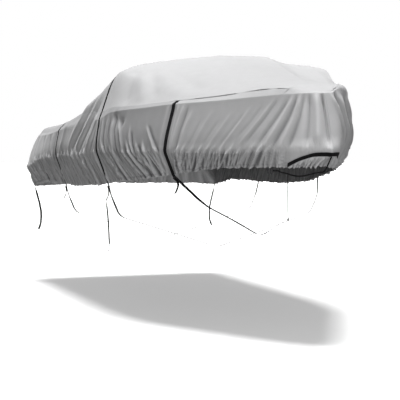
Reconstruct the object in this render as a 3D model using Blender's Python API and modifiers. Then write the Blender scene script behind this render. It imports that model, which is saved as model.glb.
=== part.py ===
"""A fitted boat cover: grey woven cloth over a windshield hoop, black webbing straps.

Stations are metres forward of a datum amidships, heights are metres above the ground
under the trailer, and half breadths are metres from the centreline.  Everything is
moved at the end so that the frame's origin lies under the cloth at the crown of the
windshield hoop.  +X points to the bow, +Y to port and +Z up.
"""
import math

import bmesh
import bpy
import numpy as np
from mathutils import Matrix, Vector

# ---------------------------------------------------------------- driving sizes
HOOP_STATION = 1.36
CROWN_HEIGHT = 2.090
CLOTH_THICKNESS = 0.0015
SEAM_GAP = 0.0014
ORIGIN = np.array((HOOP_STATION, 0.0, CROWN_HEIGHT))

STRAP_WIDTH = 0.028
STRAP_THICKNESS = 0.0018
STRAP_LIFT = 0.0009
ROPE_DIAMETER = 0.010
LINE_DIAMETER = 0.006
TIE_WIDTH = 0.020
THIN_TIE_WIDTH = 0.012
HOOK_DIAMETER = 0.005
FACE_GAP = 0.0004

AFT_STRAP = -0.10
MID_STRAP = 1.33
BOW_STRAP = 2.28
FIRST_STATION = -1.365
LAST_STATION = 3.31

# The cloth above the rail.  Share is the part of the half breadth, 0 on the centreline.
# station, rail breadth, rail height, brow share, brow height, crown station, crown height
DECK = np.array((
    (-1.365, 0.915, 1.450, 0.910, 1.535, -1.395, 1.610),
    (-1.270, 0.965, 1.450, 0.920, 1.530, -1.300, 1.620),
    (-0.750, 1.000, 1.455, 0.930, 1.525, -0.750, 1.680),
    (-0.100, 1.020, 1.490, 0.935, 1.560, -0.100, 1.740),
    (0.300, 1.020, 1.520, 0.930, 1.605, 0.280, 1.790),
    (0.780, 1.015, 1.540, 0.955, 1.665, 0.720, 1.885),
    (1.000, 1.015, 1.545, 0.940, 1.735, 0.920, 1.955),
    (1.170, 1.015, 1.550, 0.910, 1.810, 1.080, 2.020),
    (1.330, 1.015, 1.553, 0.850, 1.905, 1.250, 2.075),
    (1.400, 1.005, 1.570, 0.835, 1.943, 1.360, 2.092),
    (1.520, 0.978, 1.606, 0.825, 1.915, 1.500, 2.075),
    (1.750, 0.925, 1.620, 0.800, 1.845, 1.750, 2.020),
    (1.950, 0.865, 1.627, 0.790, 1.790, 1.950, 1.970),
    (2.280, 0.695, 1.650, 0.820, 1.735, 2.280, 1.900),
    (2.600, 0.535, 1.660, 0.850, 1.715, 2.600, 1.845),
    (2.950, 0.360, 1.676, 0.840, 1.728, 2.960, 1.798),
    (3.170, 0.240, 1.687, 0.780, 1.736, 3.200, 1.765),
    (3.310, 0.140, 1.692, 0.600, 1.694, 3.400, 1.694),
))

# How the port half of the same cloth differs.
# station, brow share, brow height, swell beside the crown, rail lift
PORT_DECK = np.array((
    (-1.365, 0.910, 1.535, 0.000, 0.000),
    (0.780, 0.955, 1.665, 0.000, 0.000),
    (1.000, 0.945, 1.745, 0.010, 0.000),
    (1.170, 0.935, 1.840, 0.030, 0.000),
    (1.330, 0.945, 1.955, 0.050, 0.000),
    (1.400, 0.950, 1.992, 0.055, 0.000),
    (1.520, 0.950, 1.957, 0.045, 0.000),
    (1.750, 0.950, 1.872, 0.030, 0.000),
    (1.950, 0.930, 1.800, 0.020, 0.000),
    (2.280, 0.860, 1.740, 0.010, 0.000),
    (2.600, 0.850, 1.720, 0.000, 0.005),
    (2.950, 0.840, 1.750, 0.000, 0.025),
    (3.170, 0.780, 1.760, 0.000, 0.035),
    (3.310, 0.600, 1.715, 0.000, 0.035),
))

# The side cloth: it turns under at the tuck, over the rub rail, and ends at the hem.
# station, tuck station, tuck breadth, tuck height, hem station, hem breadth, hem height
SKIRT = np.array((
    (-1.365, -1.450, 1.030, 1.135, -1.380, 0.975, 0.945),
    (-1.270, -1.330, 1.065, 1.150, -1.280, 0.985, 0.962),
    (-0.750, -0.750, 1.050, 1.237, -0.750, 0.955, 1.015),
    (-0.100, -0.100, 1.050, 1.260, -0.100, 0.955, 1.003),
    (0.300, 0.300, 1.050, 1.275, 0.300, 0.955, 1.000),
    (0.780, 0.780, 1.050, 1.287, 0.780, 0.955, 1.012),
    (1.330, 1.330, 1.040, 1.300, 1.330, 0.940, 1.040),
    (1.520, 1.520, 1.015, 1.302, 1.520, 0.920, 1.060),
    (1.950, 1.950, 0.915, 1.307, 1.950, 0.830, 1.095),
    (2.280, 2.280, 0.770, 1.300, 2.270, 0.700, 1.131),
    (2.600, 2.610, 0.610, 1.292, 2.590, 0.550, 1.172),
    (2.950, 2.970, 0.430, 1.296, 2.940, 0.380, 1.190),
    (3.170, 3.210, 0.300, 1.305, 3.160, 0.255, 1.193),
    (3.310, 3.390, 0.170, 1.310, 3.290, 0.155, 1.196),
))

# How the port side is drawn in below its rail.
# station, tuck drawn in, hem drawn in, hem lifted, wall bulge
PORT_SKIRT = np.array((
    (-1.365, 0.000, 0.000, 0.000, 0.008),
    (0.780, 0.000, 0.000, 0.010, 0.010),
    (1.520, 0.010, 0.030, 0.050, 0.015),
    (1.950, 0.030, 0.060, 0.070, 0.030),
    (2.280, 0.055, 0.090, 0.060, 0.045),
    (2.600, 0.060, 0.090, 0.025, 0.050),
    (2.950, 0.060, 0.090, 0.008, 0.050),
    (3.170, 0.055, 0.080, 0.004, 0.045),
    (3.310, 0.040, 0.050, 0.000, 0.030),
))

# The two ends, by share of the half chord.
# share, tuck station, tuck breadth, tuck height, hem station, hem breadth, hem height
TRANSOM = np.array((
    (0.00, -1.510, 0.000, 1.120, -1.440, 0.000, 0.965),
    (0.50, -1.505, 0.500, 1.120, -1.435, 0.460, 0.965),
    (0.88, -1.490, 0.900, 1.125, -1.420, 0.850, 0.950),
    (1.00, -1.450, 1.030, 1.135, -1.380, 0.975, 0.945),
))
NOSE = np.array((
    (0.00, 3.530, 0.000, 1.300, 3.385, 0.000, 1.197),
    (0.40, 3.505, 0.065, 1.305, 3.362, 0.058, 1.197),
    (1.00, 3.390, 0.170, 1.310, 3.290, 0.155, 1.196),
))

# How far the seam of the top panel lies inboard of the rail.
# station, inset
SEAM = np.array((
    (-1.365, 0.022),
    (1.520, 0.022),
    (2.280, 0.035),
    (2.950, 0.052),
    (3.310, 0.030),
))

# Folds: side, then from and to as (way aft of the stem along the tuck, girth above
# the rail), then half width and height.  A negative height is a trough.
FOLDS = (
    (-1, 0.08, -0.02, 0.13, -0.38, 0.030, -0.008),
    (-1, 0.14, -0.02, 0.25, -0.38, 0.035, 0.014),
    (-1, 0.18, -0.02, 0.36, -0.37, 0.035, -0.014),
    (-1, 0.22, -0.02, 0.47, -0.36, 0.035, 0.014),
    (-1, 0.28, -0.03, 0.60, -0.36, 0.040, -0.012),
    (-1, 0.50, -0.06, 0.74, -0.38, 0.045, 0.010),
    (-1, 0.62, -0.05, 0.86, -0.38, 0.045, -0.010),
    (-1, 0.80, -0.06, 0.98, -0.38, 0.050, 0.009),
    (-1, 1.00, -0.06, 1.20, -0.38, 0.055, -0.008),
    (-1, 1.36, -0.10, 1.40, -0.40, 0.045, 0.010),
    (-1, 1.60, -0.20, 1.56, -0.42, 0.045, 0.010),
    (-1, 1.90, -0.17, 1.80, -0.42, 0.050, 0.010),
    (-1, 2.16, -0.02, 1.98, -0.50, 0.045, -0.016),
    (-1, 2.27, -0.01, 2.08, -0.50, 0.040, 0.016),
    (-1, 2.35, -0.02, 2.20, -0.46, 0.035, -0.012),
    (-1, 2.42, -0.02, 2.32, -0.44, 0.035, 0.012),
    (-1, 2.62, 0.36, 3.42, -0.28, 0.060, 0.020),
    (-1, 2.60, 0.26, 3.24, -0.28, 0.050, -0.018),
    (-1, 2.56, 0.16, 3.06, -0.28, 0.050, 0.014),
    (-1, 2.55, 0.04, 2.86, -0.30, 0.045, -0.012),
    (-1, 3.70, 0.02, 3.80, -0.30, 0.060, 0.012),
    (-1, 4.10, 0.04, 4.02, -0.30, 0.060, -0.012),
    (-1, 4.45, 0.04, 4.32, -0.34, 0.060, 0.012),
    (-1, 4.85, 0.02, 4.66, -0.38, 0.060, 0.012),
    (1, 0.06, -0.02, 0.18, -0.38, 0.030, 0.012),
    (1, 0.12, -0.02, 0.36, -0.38, 0.035, -0.014),
    (1, 0.20, -0.02, 0.52, -0.38, 0.035, 0.014),
    (1, 0.34, -0.04, 0.70, -0.38, 0.045, -0.010),
    (1, 0.60, -0.05, 0.92, -0.38, 0.050, 0.010),
    (1, 1.05, -0.06, 1.30, -0.38, 0.055, -0.010),
    (1, 1.66, -0.05, 1.76, -0.42, 0.055, 0.010),
    (1, 2.10, -0.02, 1.98, -0.48, 0.050, -0.014),
    (1, 2.28, -0.02, 2.12, -0.48, 0.045, 0.014),
    (1, 2.62, 0.34, 3.36, -0.28, 0.060, 0.018),
    (1, 2.58, 0.16, 3.08, -0.28, 0.055, -0.016),
    (1, 3.55, 0.02, 3.70, -0.30, 0.060, 0.012),
    (1, 4.20, 0.04, 4.10, -0.32, 0.060, -0.012),
    (1, 4.70, 0.04, 4.56, -0.36, 0.060, 0.012),
    (-1, 5.60, -0.04, 5.66, -0.34, 0.070, 0.010),
    (1, 5.75, -0.04, 5.70, -0.34, 0.070, 0.010),
    (-1, 2.24, 0.34, 1.92, 0.08, 0.050, -0.010),
    (-1, 2.20, 0.36, 1.66, 0.10, 0.055, 0.010),
    (-1, 2.16, 0.40, 1.40, 0.14, 0.060, -0.008),
    (1, 2.22, 0.40, 1.80, 0.10, 0.060, -0.012),
    (1, 2.14, 0.46, 1.46, 0.16, 0.060, 0.010),
)
PLEAT_SHARE = 0.11

# The centre of the bow trim, as a share of the way from the tuck to the hem.
# way aft of the stem, share
TRIM = np.array((
    (0.00, 0.20),
    (0.11, 0.26),
    (0.19, 0.45),
    (0.26, 0.66),
    (0.33, 0.90),
))
TRIM_HALF = 0.07
PLEAT_SWELL = (0.0, 0.45, 1.0, 1.0, 0.75)

# Rows of the side cloth from rail to tuck and from tuck to hem, as shares.
WALL_ROWS = (0.22, 0.44, 0.66, 0.85, 1.0)
TUCK_ROWS = (0.2, 0.5, 0.8, 1.0)
# Half of the top panel's columns, as shares of the seam.
DECK_SHARES = np.array((0.0, 0.22, 0.43, 0.62, 0.77, 0.87, 0.94, 1.0))
# Columns along the boat between the straps: to station, number of columns.
COLUMN_RUNS = (
    (AFT_STRAP, 16),
    (MID_STRAP, 20),
    (BOW_STRAP, 16),
    (LAST_STATION, 21),
)

# Webbing under the hull: half breadth and height at the knuckles of the hull.
AFT_HULL = ((0.930, 0.905), (0.860, 0.740), (0.430, 0.610), (0.000, 0.485))
MID_HULL = ((0.915, 0.945), (0.842, 0.774), (0.420, 0.640), (0.000, 0.505))
BOW_HULL = ((0.492, 0.938), (0.423, 0.885), (0.213, 0.778), (0.000, 0.657))
BUCKLE_LENGTH = 0.052
BUCKLE_WIDTH = 0.040
BUCKLE_DEPTH = 0.008
BUCKLE_CORNER = 0.007
SLOT_LENGTH = 0.031
SLOT_WIDTH = 0.007
SLOT_PLACE = 0.011
TAIL_LENGTH = 0.085

# Routes of the free ropes and ties, as station, breadth, height.
BOW_BUCKLE = (3.115, -0.290, 1.165)
BOW_LINE_STATION = 3.262
BOW_ROPE = (
    (3.215, -0.236, 1.158),
    (3.258, -0.214, 1.150),
    (3.285, -0.190, 1.140),
    (3.312, -0.160, 1.134),
    (3.338, -0.128, 1.137),
    (3.362, -0.092, 1.148),
    (3.388, -0.052, 1.158),
    (3.406, -0.020, 1.162),
)
# Offsets from what each hangs from.
BOW_LINE = (
    (0.000, 0.000, 0.000),
    (0.000, -0.001, -0.100),
    (0.001, -0.001, -0.200),
    (0.003, 0.000, -0.300),
)
SIDE_TIE = (
    (0.000, 0.000, 0.000),
    (0.001, 0.010, -0.080),
    (0.002, 0.018, -0.180),
    (0.003, 0.023, -0.280),
    (0.004, 0.026, -0.350),
)
HOOK = (
    (0.000, 0.000, 0.000),
    (0.000, 0.000, -0.028),
    (0.000, -0.003, -0.046),
    (0.000, -0.013, -0.060),
    (0.000, -0.026, -0.057),
    (0.000, -0.030, -0.042),
)
STERN_TIE = (
    (0.000, 0.000, 0.000),
    (-0.001, -0.024, -0.090),
    (-0.002, -0.050, -0.190),
    (-0.003, -0.064, -0.290),
    (-0.003, -0.060, -0.370),
    (-0.003, -0.038, -0.440),
)


# ---------------------------------------------------------------- curves
def smooth(at, keys, rows):
    """Monotone cubic through the rows of a table, which never overshoots them."""
    rows = rows.reshape(len(keys), -1)
    step = np.diff(keys)
    rise = np.diff(rows, axis=0) / step[:, None]
    tangent = np.zeros_like(rows)
    tangent[0] = rise[0]
    tangent[-1] = rise[-1]
    near = (2 * step[1:] + step[:-1])[:, None]
    far = (step[1:] + 2 * step[:-1])[:, None]
    turning = rise[:-1] * rise[1:] <= 0
    before = np.where(turning, 1.0, rise[:-1])
    after = np.where(turning, 1.0, rise[1:])
    tangent[1:-1] = np.where(turning, 0.0, (near + far) / (near / before + far / after))
    at = np.atleast_1d(np.asarray(at, float))
    cell = np.clip(np.searchsorted(keys, at, side="right") - 1, 0, len(keys) - 2)
    width = step[cell][:, None]
    t = (at - keys[cell])[:, None] / width
    start = (1 + 2 * t) * (1 - t) ** 2 * rows[cell] + t * (1 - t) ** 2 * width * tangent[cell]
    end = t * t * (3 - 2 * t) * rows[cell + 1] - t * t * (1 - t) * width * tangent[cell + 1]
    return start + end


def table(rows, at):
    """A table's columns after the first, at the given values of the first."""
    return smooth(at, rows[:, 0], rows[:, 1:])


def spline_points(route, spacing):
    """Points at an even spacing on a smooth curve through the route's points."""
    route = np.array(route, float)
    run = np.concatenate(([0.0], np.cumsum(np.linalg.norm(np.diff(route, axis=0), axis=1))))
    count = max(4, round(run[-1] / spacing) + 1)
    return smooth(np.linspace(0, run[-1], count), run, route)


# ---------------------------------------------------------------- the draped surface
def chord(station, shares):
    """The cloth across the boat at one station, at shares from -1 starboard to 1 port."""
    rail_y, rail_z, brow, brow_z, crown_x, crown_z = table(DECK, station)[0]
    port_brow, port_brow_z, swell, lift = table(PORT_DECK, station)[0]
    shares = np.asarray(shares, float)
    out = np.abs(shares)
    mid_z = crown_z - 0.32 * (crown_z - brow_z)
    starboard = smooth(out, np.array((0, 0.5 * brow, brow, 1)),
                       np.array((crown_z, mid_z, brow_z, rail_z)))[:, 0]
    beside_z = crown_z - 0.08 * (crown_z - port_brow_z) + 0.2 * swell
    port_mid_z = crown_z - 0.45 * (crown_z - port_brow_z)
    port = smooth(out, np.array((0, 0.36, 0.55, port_brow, 1)),
                  np.array((crown_z, beside_z, port_mid_z, port_brow_z, rail_z + lift)))[:, 0]
    round_nose = station > 3.2
    x = crown_x + (station - crown_x) * out ** (2 if round_nose else 4)
    return np.stack((x, shares * rail_y, np.where(shares > 0, port, starboard)), axis=1)


def seam_share(station):
    """Where the seam crosses the chord, as a share of the half breadth."""
    return 1 - table(SEAM, station)[0, 0] / table(DECK, station)[0, 0]


def skirt_ends(side, stations):
    """Tuck points, hem points and wall bulge along one side."""
    row = table(SKIRT, stations)
    flip = np.array((1, side, 1))
    tuck = row[:, :3] * flip
    hem = row[:, 3:] * flip
    bulge = np.full(len(row), 0.008)
    if side > 0:
        drawn = table(PORT_SKIRT, stations)
        tuck[:, 1] -= drawn[:, 0]
        hem[:, 1] -= drawn[:, 1]
        hem[:, 2] += drawn[:, 2]
        bulge = drawn[:, 3]
    return tuck, hem, bulge


def end_ends(rows, side, shares):
    """Tuck and hem points round the transom or the nose on one side."""
    row = table(rows, shares)
    flip = np.array((1, side, 1))
    tuck = row[:, :3] * flip
    hem = row[:, 3:] * flip
    if side > 0 and rows is NOSE:
        drawn = table(PORT_SKIRT, LAST_STATION)[0]
        tuck[:, 1] -= drawn[0] * shares ** 1.5
        hem[:, 1] -= drawn[1] * shares ** 1.5
    return tuck, hem


def column_stations():
    """Stations of the columns, with a close pair beside each strap, and the strap's index."""
    half = STRAP_WIDTH / 2
    stations = []
    straps = []
    start = FIRST_STATION
    for end, count in COLUMN_RUNS:
        last = end == LAST_STATION
        run = np.linspace(start, end if last else end - half, count + 1)
        stations.extend(run)
        if not last:
            straps.append(len(stations))
            stations.append(end)
            start = end + half
    return np.array(stations), straps


class Cover:
    """The whole draped surface as one grid, before it is cut into panels."""

    def __init__(self):
        self.stations, self.strap_columns = column_stations()
        self.half = len(DECK_SHARES) - 1
        self.points = []
        self.faces = []
        self.lay_deck()
        self.lay_rim()
        self.lay_sides()
        self.points = np.array(self.points)
        self.fold()

    def lay_deck(self):
        """The top panel's grid: one row of points across the boat at each column."""
        inner = self.stations.copy()
        inner[0] += 0.03
        inner[-1] -= 0.02
        self.deck = np.zeros((len(inner), 2 * self.half + 1), int)
        across = np.concatenate((-DECK_SHARES[:0:-1], DECK_SHARES))
        for row, station in enumerate(inner):
            line = chord(station, across * seam_share(station))
            for column, point in enumerate(line):
                self.deck[row, column] = len(self.points)
                self.points.append(point)

    def lay_rim(self):
        """The closed loops of the seam and the rail, from the transom round by starboard."""
        deck = self.deck
        half = self.half
        last = len(self.stations) - 1
        walk = [(0, half - n) for n in range(half)]
        walk += [(n, 0) for n in range(last)]
        walk += [(last, n) for n in range(half)]
        walk += [(last, half + n) for n in range(half)]
        walk += [(last - n, 2 * half) for n in range(last)]
        walk += [(0, 2 * half - n) for n in range(half)]
        self.seam = [deck[place] for place in walk]
        self.stem = half + last + half
        across = np.concatenate((-DECK_SHARES[:0:-1], DECK_SHARES))
        stern = chord(FIRST_STATION, across)
        bow = chord(LAST_STATION, across)
        self.rail = []
        for row, column in walk:
            if row == 0:
                point = stern[column]
            elif row == last:
                point = bow[column]
            else:
                point = chord(self.stations[row], (-1.0 if column == 0 else 1.0,))[0]
            self.rail.append(len(self.points))
            self.points.append(point)

    def lay_sides(self):
        """The side cloth: rows down from the rail to the tuck and on to the hem."""
        ends = DECK_SHARES[:-1]
        tucks = []
        hems = []
        bulges = []
        for side in (-1, 1):
            stern_tuck, stern_hem = end_ends(TRANSOM, side, ends)
            side_tuck, side_hem, side_bulge = skirt_ends(side, self.stations)
            nose_tuck, nose_hem = end_ends(NOSE, side, ends[::-1])
            tuck = np.vstack((stern_tuck, side_tuck, nose_tuck))
            hem = np.vstack((stern_hem, side_hem, nose_hem))
            bulge = np.concatenate((ends * side_bulge[0], side_bulge, ends[::-1] * side_bulge[-1]))
            order = slice(None, -1) if side < 0 else slice(None, 0, -1)
            tucks.append(tuck[order])
            hems.append(hem[order])
            bulges.append(bulge[order])
        tuck = np.vstack(tucks)
        hem = np.vstack(hems)
        bulge = np.concatenate(bulges)
        rail = np.array([self.points[n] for n in self.rail])
        outward = (tuck - hem) * (1, 1, 0)
        outward /= np.linalg.norm(outward, axis=1)[:, None]
        steps = np.linalg.norm(np.diff(np.vstack((tuck, tuck[:1])), axis=0), axis=1)
        run = np.concatenate(([0.0], np.cumsum(steps)[:-1]))
        self.way_aft = np.abs(run - run[self.stem])
        self.spacing = 0.5 * (steps + np.roll(steps, 1))
        wall = np.linalg.norm(tuck - rail, axis=1)
        under = np.linalg.norm(hem - tuck, axis=1)
        self.rows = [self.seam, self.rail]
        self.girths = [None, np.zeros(len(rail))]
        for share in WALL_ROWS:
            swell = bulge * math.sin(math.pi * share ** 1.6)
            self.add_row(rail + (tuck - rail) * share + outward * swell[:, None], -wall * share)
        for share in self.tuck_shares():
            self.add_row(tuck + (hem - tuck) * share[:, None], -wall - under * share)

    def tuck_shares(self):
        """Rows under the tuck, drawn together at the bow so that two of them edge the trim."""
        upper, lower = np.transpose([
            (centre - TRIM_HALF, centre + TRIM_HALF)
            for centre in smooth(np.minimum(self.way_aft, TRIM[-1, 0]), TRIM[:, 0], TRIM[:, 1])[:, 0]])
        at_bow = np.stack((upper, lower, 0.5 * (lower + 1), np.ones(len(upper))))
        blend = np.clip((self.way_aft - TRIM[-1, 0] - 0.01) / 0.12, 0, 1)
        return at_bow + (np.array(TUCK_ROWS)[:, None] - at_bow) * blend

    def add_row(self, row, girth):
        first = len(self.points)
        self.points.extend(row)
        self.rows.append(list(range(first, first + len(row))))
        self.girths.append(girth)

    def quads(self):
        """All faces of the surface, wound to face outward."""
        deck = self.deck
        faces = []
        for row in range(deck.shape[0] - 1):
            for column in range(deck.shape[1] - 1):
                faces.append((deck[row, column], deck[row + 1, column],
                              deck[row + 1, column + 1], deck[row, column + 1]))
        for upper, lower in zip(self.rows[:-1], self.rows[1:]):
            for here in range(len(upper)):
                there = (here + 1) % len(upper)
                faces.append((upper[here], lower[here], lower[there], upper[there]))
        return np.array(faces)

    def triangles(self, grid):
        """Faces of a grid of the cover's points, every cell split on its shorter diagonal."""
        faces = []
        rows, columns = grid.shape
        for row in range(rows - 1):
            for column in range(columns - 1):
                place = ((row, column), (row + 1, column), (row + 1, column + 1), (row, column + 1))
                a, b, c, d = (self.points[grid[p]] for p in place)
                at = [p[0] * columns + p[1] for p in place]
                if np.linalg.norm(a - c) < np.linalg.norm(b - d):
                    faces.append((at[0], at[1], at[2]))
                    faces.append((at[0], at[2], at[3]))
                else:
                    faces.append((at[0], at[1], at[3]))
                    faces.append((at[1], at[2], at[3]))
        return faces

    def normals(self):
        """Vertex normals, weighted by face area."""
        faces = self.quads()
        corner = self.points[faces]
        face = np.cross(corner[:, 2] - corner[:, 0], corner[:, 3] - corner[:, 1])
        total = np.zeros_like(self.points)
        for place in range(4):
            np.add.at(total, faces[:, place], face)
        return total / np.linalg.norm(total, axis=1)[:, None]

    def sheet_places(self):
        """Side, way aft of the stem and girth above the rail, for every point."""
        count = len(self.points)
        place = {-1: np.full((count, 2), 9.0), 1: np.full((count, 2), 9.0)}
        loop = len(self.rail)
        for girth, row in zip(self.girths[1:], self.rows[1:]):
            for n in range(loop):
                side = -1 if n <= self.stem else 1
                place[side][row[n]] = (self.way_aft[n], girth[n])
        half = self.half
        for row in range(self.deck.shape[0]):
            line = self.points[self.deck[row]]
            step = np.linalg.norm(np.diff(line, axis=0), axis=1)
            for side in (-1, 1):
                rim = half + row if side < 0 else loop - half - row
                edge = 0 if side < 0 else 2 * half
                from_rail = np.linalg.norm(self.points[self.rail[rim]] - line[edge])
                order = range(2 * half + 1) if side < 0 else range(2 * half, -1, -1)
                gaps = step if side < 0 else step[::-1]
                girth = from_rail + np.concatenate(([0.0], np.cumsum(gaps)))
                for column, value in zip(order, girth):
                    place[side][self.deck[row, column]] = (self.way_aft[rim], value)
        return place

    def fold(self):
        """Raise the folds, press the cloth flat under the straps and pleat the tuck."""
        normal = self.normals()
        place = self.sheet_places()
        rise = np.zeros(len(self.points))
        for side, aft_a, girth_a, aft_b, girth_b, width, height in FOLDS:
            start = np.array((aft_a, girth_a))
            along = np.array((aft_b, girth_b)) - start
            length = np.linalg.norm(along)
            along /= length
            offset = place[side] - start
            run = offset @ along / length
            away = offset @ np.array((-along[1], along[0]))
            ends = np.clip(np.minimum(run, 1 - run) / 0.22 + 0.35, 0, 1)
            rise += height * ends ** 2 * (3 - 2 * ends) * np.exp(-(away / width) ** 2)
        for swell, row in zip(PLEAT_SWELL, self.rows[-len(PLEAT_SWELL):]):
            for n, vertex in enumerate(row):
                sign = 1 if n % 2 else -1
                rise[vertex] += sign * swell * PLEAT_SHARE * self.spacing[n]
        loop = len(self.rail)
        for column in self.strap_columns:
            for rim in (self.half + column, loop - self.half - column):
                for row in self.rows:
                    under = [row[rim - 1], row[rim], row[rim + 1]]
                    rise[under] = -0.003
            rise[self.deck[column - 1:column + 2]] = -0.002
        self.points = self.points + rise[:, None] * normal
        self.normal = self.normals()


# ---------------------------------------------------------------- objects
def clear_scene():
    for thing in list(bpy.data.objects):
        bpy.data.objects.remove(thing, do_unlink=True)


def material(name, colour, roughness):
    made = bpy.data.materials.new(name)
    made.use_nodes = True
    shader = made.node_tree.nodes["Principled BSDF"]
    shader.inputs["Base Color"].default_value = (*colour, 1)
    shader.inputs["Roughness"].default_value = roughness
    shader.inputs["Metallic"].default_value = 0.0
    return made


def add_object(name, data, finish):
    thing = bpy.data.objects.new(name, data)
    data.materials.append(finish)
    bpy.data.collections["boat_cover"].objects.link(thing)
    return thing


def sheet_object(name, points, faces, thickness, outward, finish):
    """An open surface made solid, growing outward or inward."""
    mesh = bpy.data.meshes.new(name)
    mesh.from_pydata([tuple(p) for p in points - ORIGIN], [], [tuple(map(int, f)) for f in faces])
    thing = add_object(name, mesh, finish)
    shell = thing.modifiers.new("thickness", "SOLIDIFY")
    shell.thickness = thickness
    shell.offset = 1.0 if outward else -1.0
    return thing


def grid_faces(rows, columns):
    """Faces of a grid of points laid row by row, wound with the rows running down."""
    faces = []
    for row in range(rows - 1):
        for column in range(columns - 1):
            here = row * columns + column
            below = here + columns
            faces.append((here, below, below + 1, here + 1))
    return faces


def build_top_panel(cover, finish):
    deck = cover.deck
    sheet_object("top_panel", cover.points[deck.ravel()], cover.triangles(deck),
                 CLOTH_THICKNESS, False, finish)


def build_side_panels(cover, finish):
    loop = len(cover.rail)
    halves = (
        ("side_panel_starboard", -1, list(range(cover.stem + 1))),
        ("side_panel_port", 1, [n % loop for n in range(cover.stem, loop + 1)]),
    )
    for name, side, columns in halves:
        rows = [cover.points[[row[n] for n in columns]] for row in cover.rows]
        down = rows[1] - rows[0]
        rows[0] = rows[0] + down / np.linalg.norm(down, axis=1)[:, None] * SEAM_GAP
        for row in rows:
            for end in (0, -1):
                row[end, 1] += side * SEAM_GAP / 2
        grid = np.array([[row[n] for n in columns] for row in cover.rows])
        sheet_object(name, np.vstack(rows), cover.triangles(grid), CLOTH_THICKNESS, False, finish)


def strap_path(cover, rim):
    """Rows of the side cloth at one place of the rim, from the rail down to the hem."""
    return [[row[rim - 1], row[rim], row[rim + 1]] for row in cover.rows[1:]]


def build_strap_over(cover, name, column, finish):
    """Webbing sewn to the cloth from the starboard hem over the top to the port hem."""
    starboard = strap_path(cover, rim_place(cover, column, -1))
    port = strap_path(cover, rim_place(cover, column, 1))
    deck = cover.deck[column - 1:column + 2]
    top = [list(deck[:, n]) for n in range(deck.shape[1])]
    rows = starboard[::-1] + top + [row[::-1] for row in port]
    ribbon(cover, name, rows, finish)


def ribbon(cover, name, rows, finish):
    """A strip laid on the cloth along rows of three points."""
    index = np.array(rows)
    points = cover.points[index] + cover.normal[index] * STRAP_LIFT
    across = points[:, 2] - points[:, 0]
    along = np.gradient(points[:, 1], axis=0)
    facing = np.cross(across, along)
    flip = np.sum(facing * cover.normal[index[:, 1]]) < 0
    faces = cover.triangles(index)
    if not flip:
        faces = [face[::-1] for face in faces]
    sheet_object(name, points.reshape(-1, 3), faces, STRAP_THICKNESS, True, finish)


def build_side_strap(cover, name, column, side, finish):
    """Webbing sewn down the side cloth from the rail to the hem."""
    ribbon(cover, name, strap_path(cover, rim_place(cover, column, side)), finish)


def build_trim(cover, finish):
    """Binding sewn across the bow in an arc from hem to hem."""
    reach = [n for n in range(len(cover.rail)) if cover.way_aft[n] <= TRIM[-1, 0]]
    rows = len(WALL_ROWS) + 2
    grid = np.array([[row[n] for row in cover.rows[rows:rows + 2]] for n in reach])
    points = cover.points[grid] + cover.normal[grid] * STRAP_LIFT
    faces = [face[::-1] for face in cover.triangles(grid)]
    sheet_object("bow_trim", points.reshape(-1, 3), faces, STRAP_THICKNESS, True, finish)


def rim_place(cover, column, side):
    """Where a column of the deck meets the rim, on one side."""
    return cover.half + column if side < 0 else len(cover.rail) - cover.half - column


def strip(name, path, across, finish):
    """Webbing along a path, which is its inner face, with its half width at each point."""
    path = np.array(path, float)
    points = np.stack((path - across, path + across), axis=1).reshape(-1, 3)
    return sheet_object(name, points, grid_faces(len(path), 2), STRAP_THICKNESS, True, finish)


def flat_strip(name, path, width, finish):
    """Webbing along a path, its width along the boat."""
    return strip(name, path, np.array((width / 2, 0, 0)), finish)


def buckle_outline(curve, centre, length, width, corner, solid):
    spline = curve.splines.new("POLY")
    x = length / 2
    y = width / 2
    corners = [(x, y - corner), (x - corner, y), (corner - x, y), (-x, y - corner),
               (-x, corner - y), (corner - x, -y), (x - corner, -y), (x, corner - y)]
    if not solid:
        corners.reverse()
    spline.points.add(len(corners) - 1)
    for point, (px, py) in zip(spline.points, corners):
        point.co = (px + centre, py, 0, 1)
    spline.use_cyclic_u = True


def build_buckle(name, centre, along, across, finish):
    """A ladder buckle: a plate with two slots, lying in the plane of the webbing."""
    curve = bpy.data.curves.new(name, "CURVE")
    curve.dimensions = "2D"
    curve.fill_mode = "BOTH"
    curve.extrude = BUCKLE_DEPTH / 2
    buckle_outline(curve, 0, BUCKLE_LENGTH, BUCKLE_WIDTH, BUCKLE_CORNER, True)
    for place in (-1, 1):
        buckle_outline(curve, place * SLOT_PLACE, SLOT_WIDTH, SLOT_LENGTH, 0.001, False)
    thing = add_object(name, curve, finish)
    along = Vector(along).normalized()
    across = Vector(across)
    across = (across - along * across.dot(along)).normalized()
    frame = Matrix((along, across, along.cross(across))).transposed().to_4x4()
    frame.translation = Vector(np.array(centre) - ORIGIN)
    thing.matrix_world = frame


def strap_end(cover, column, side):
    """The inner face of the strap sewn on the cloth where it ends, and its half width."""
    rim = rim_place(cover, column, side)
    row = cover.rows[-1]
    index = [row[rim - 1], row[rim], row[rim + 1]]
    points = cover.points[index] + cover.normal[index] * STRAP_LIFT
    half = 0.5 * (points[2] - points[0])
    if half[0] < 0:
        half = -half
    above = cover.points[cover.rows[-2][rim]] + cover.normal[cover.rows[-2][rim]] * STRAP_LIFT
    down = points[1] - above
    return 0.5 * (points[0] + points[2]), half, down / np.linalg.norm(down)


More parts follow.
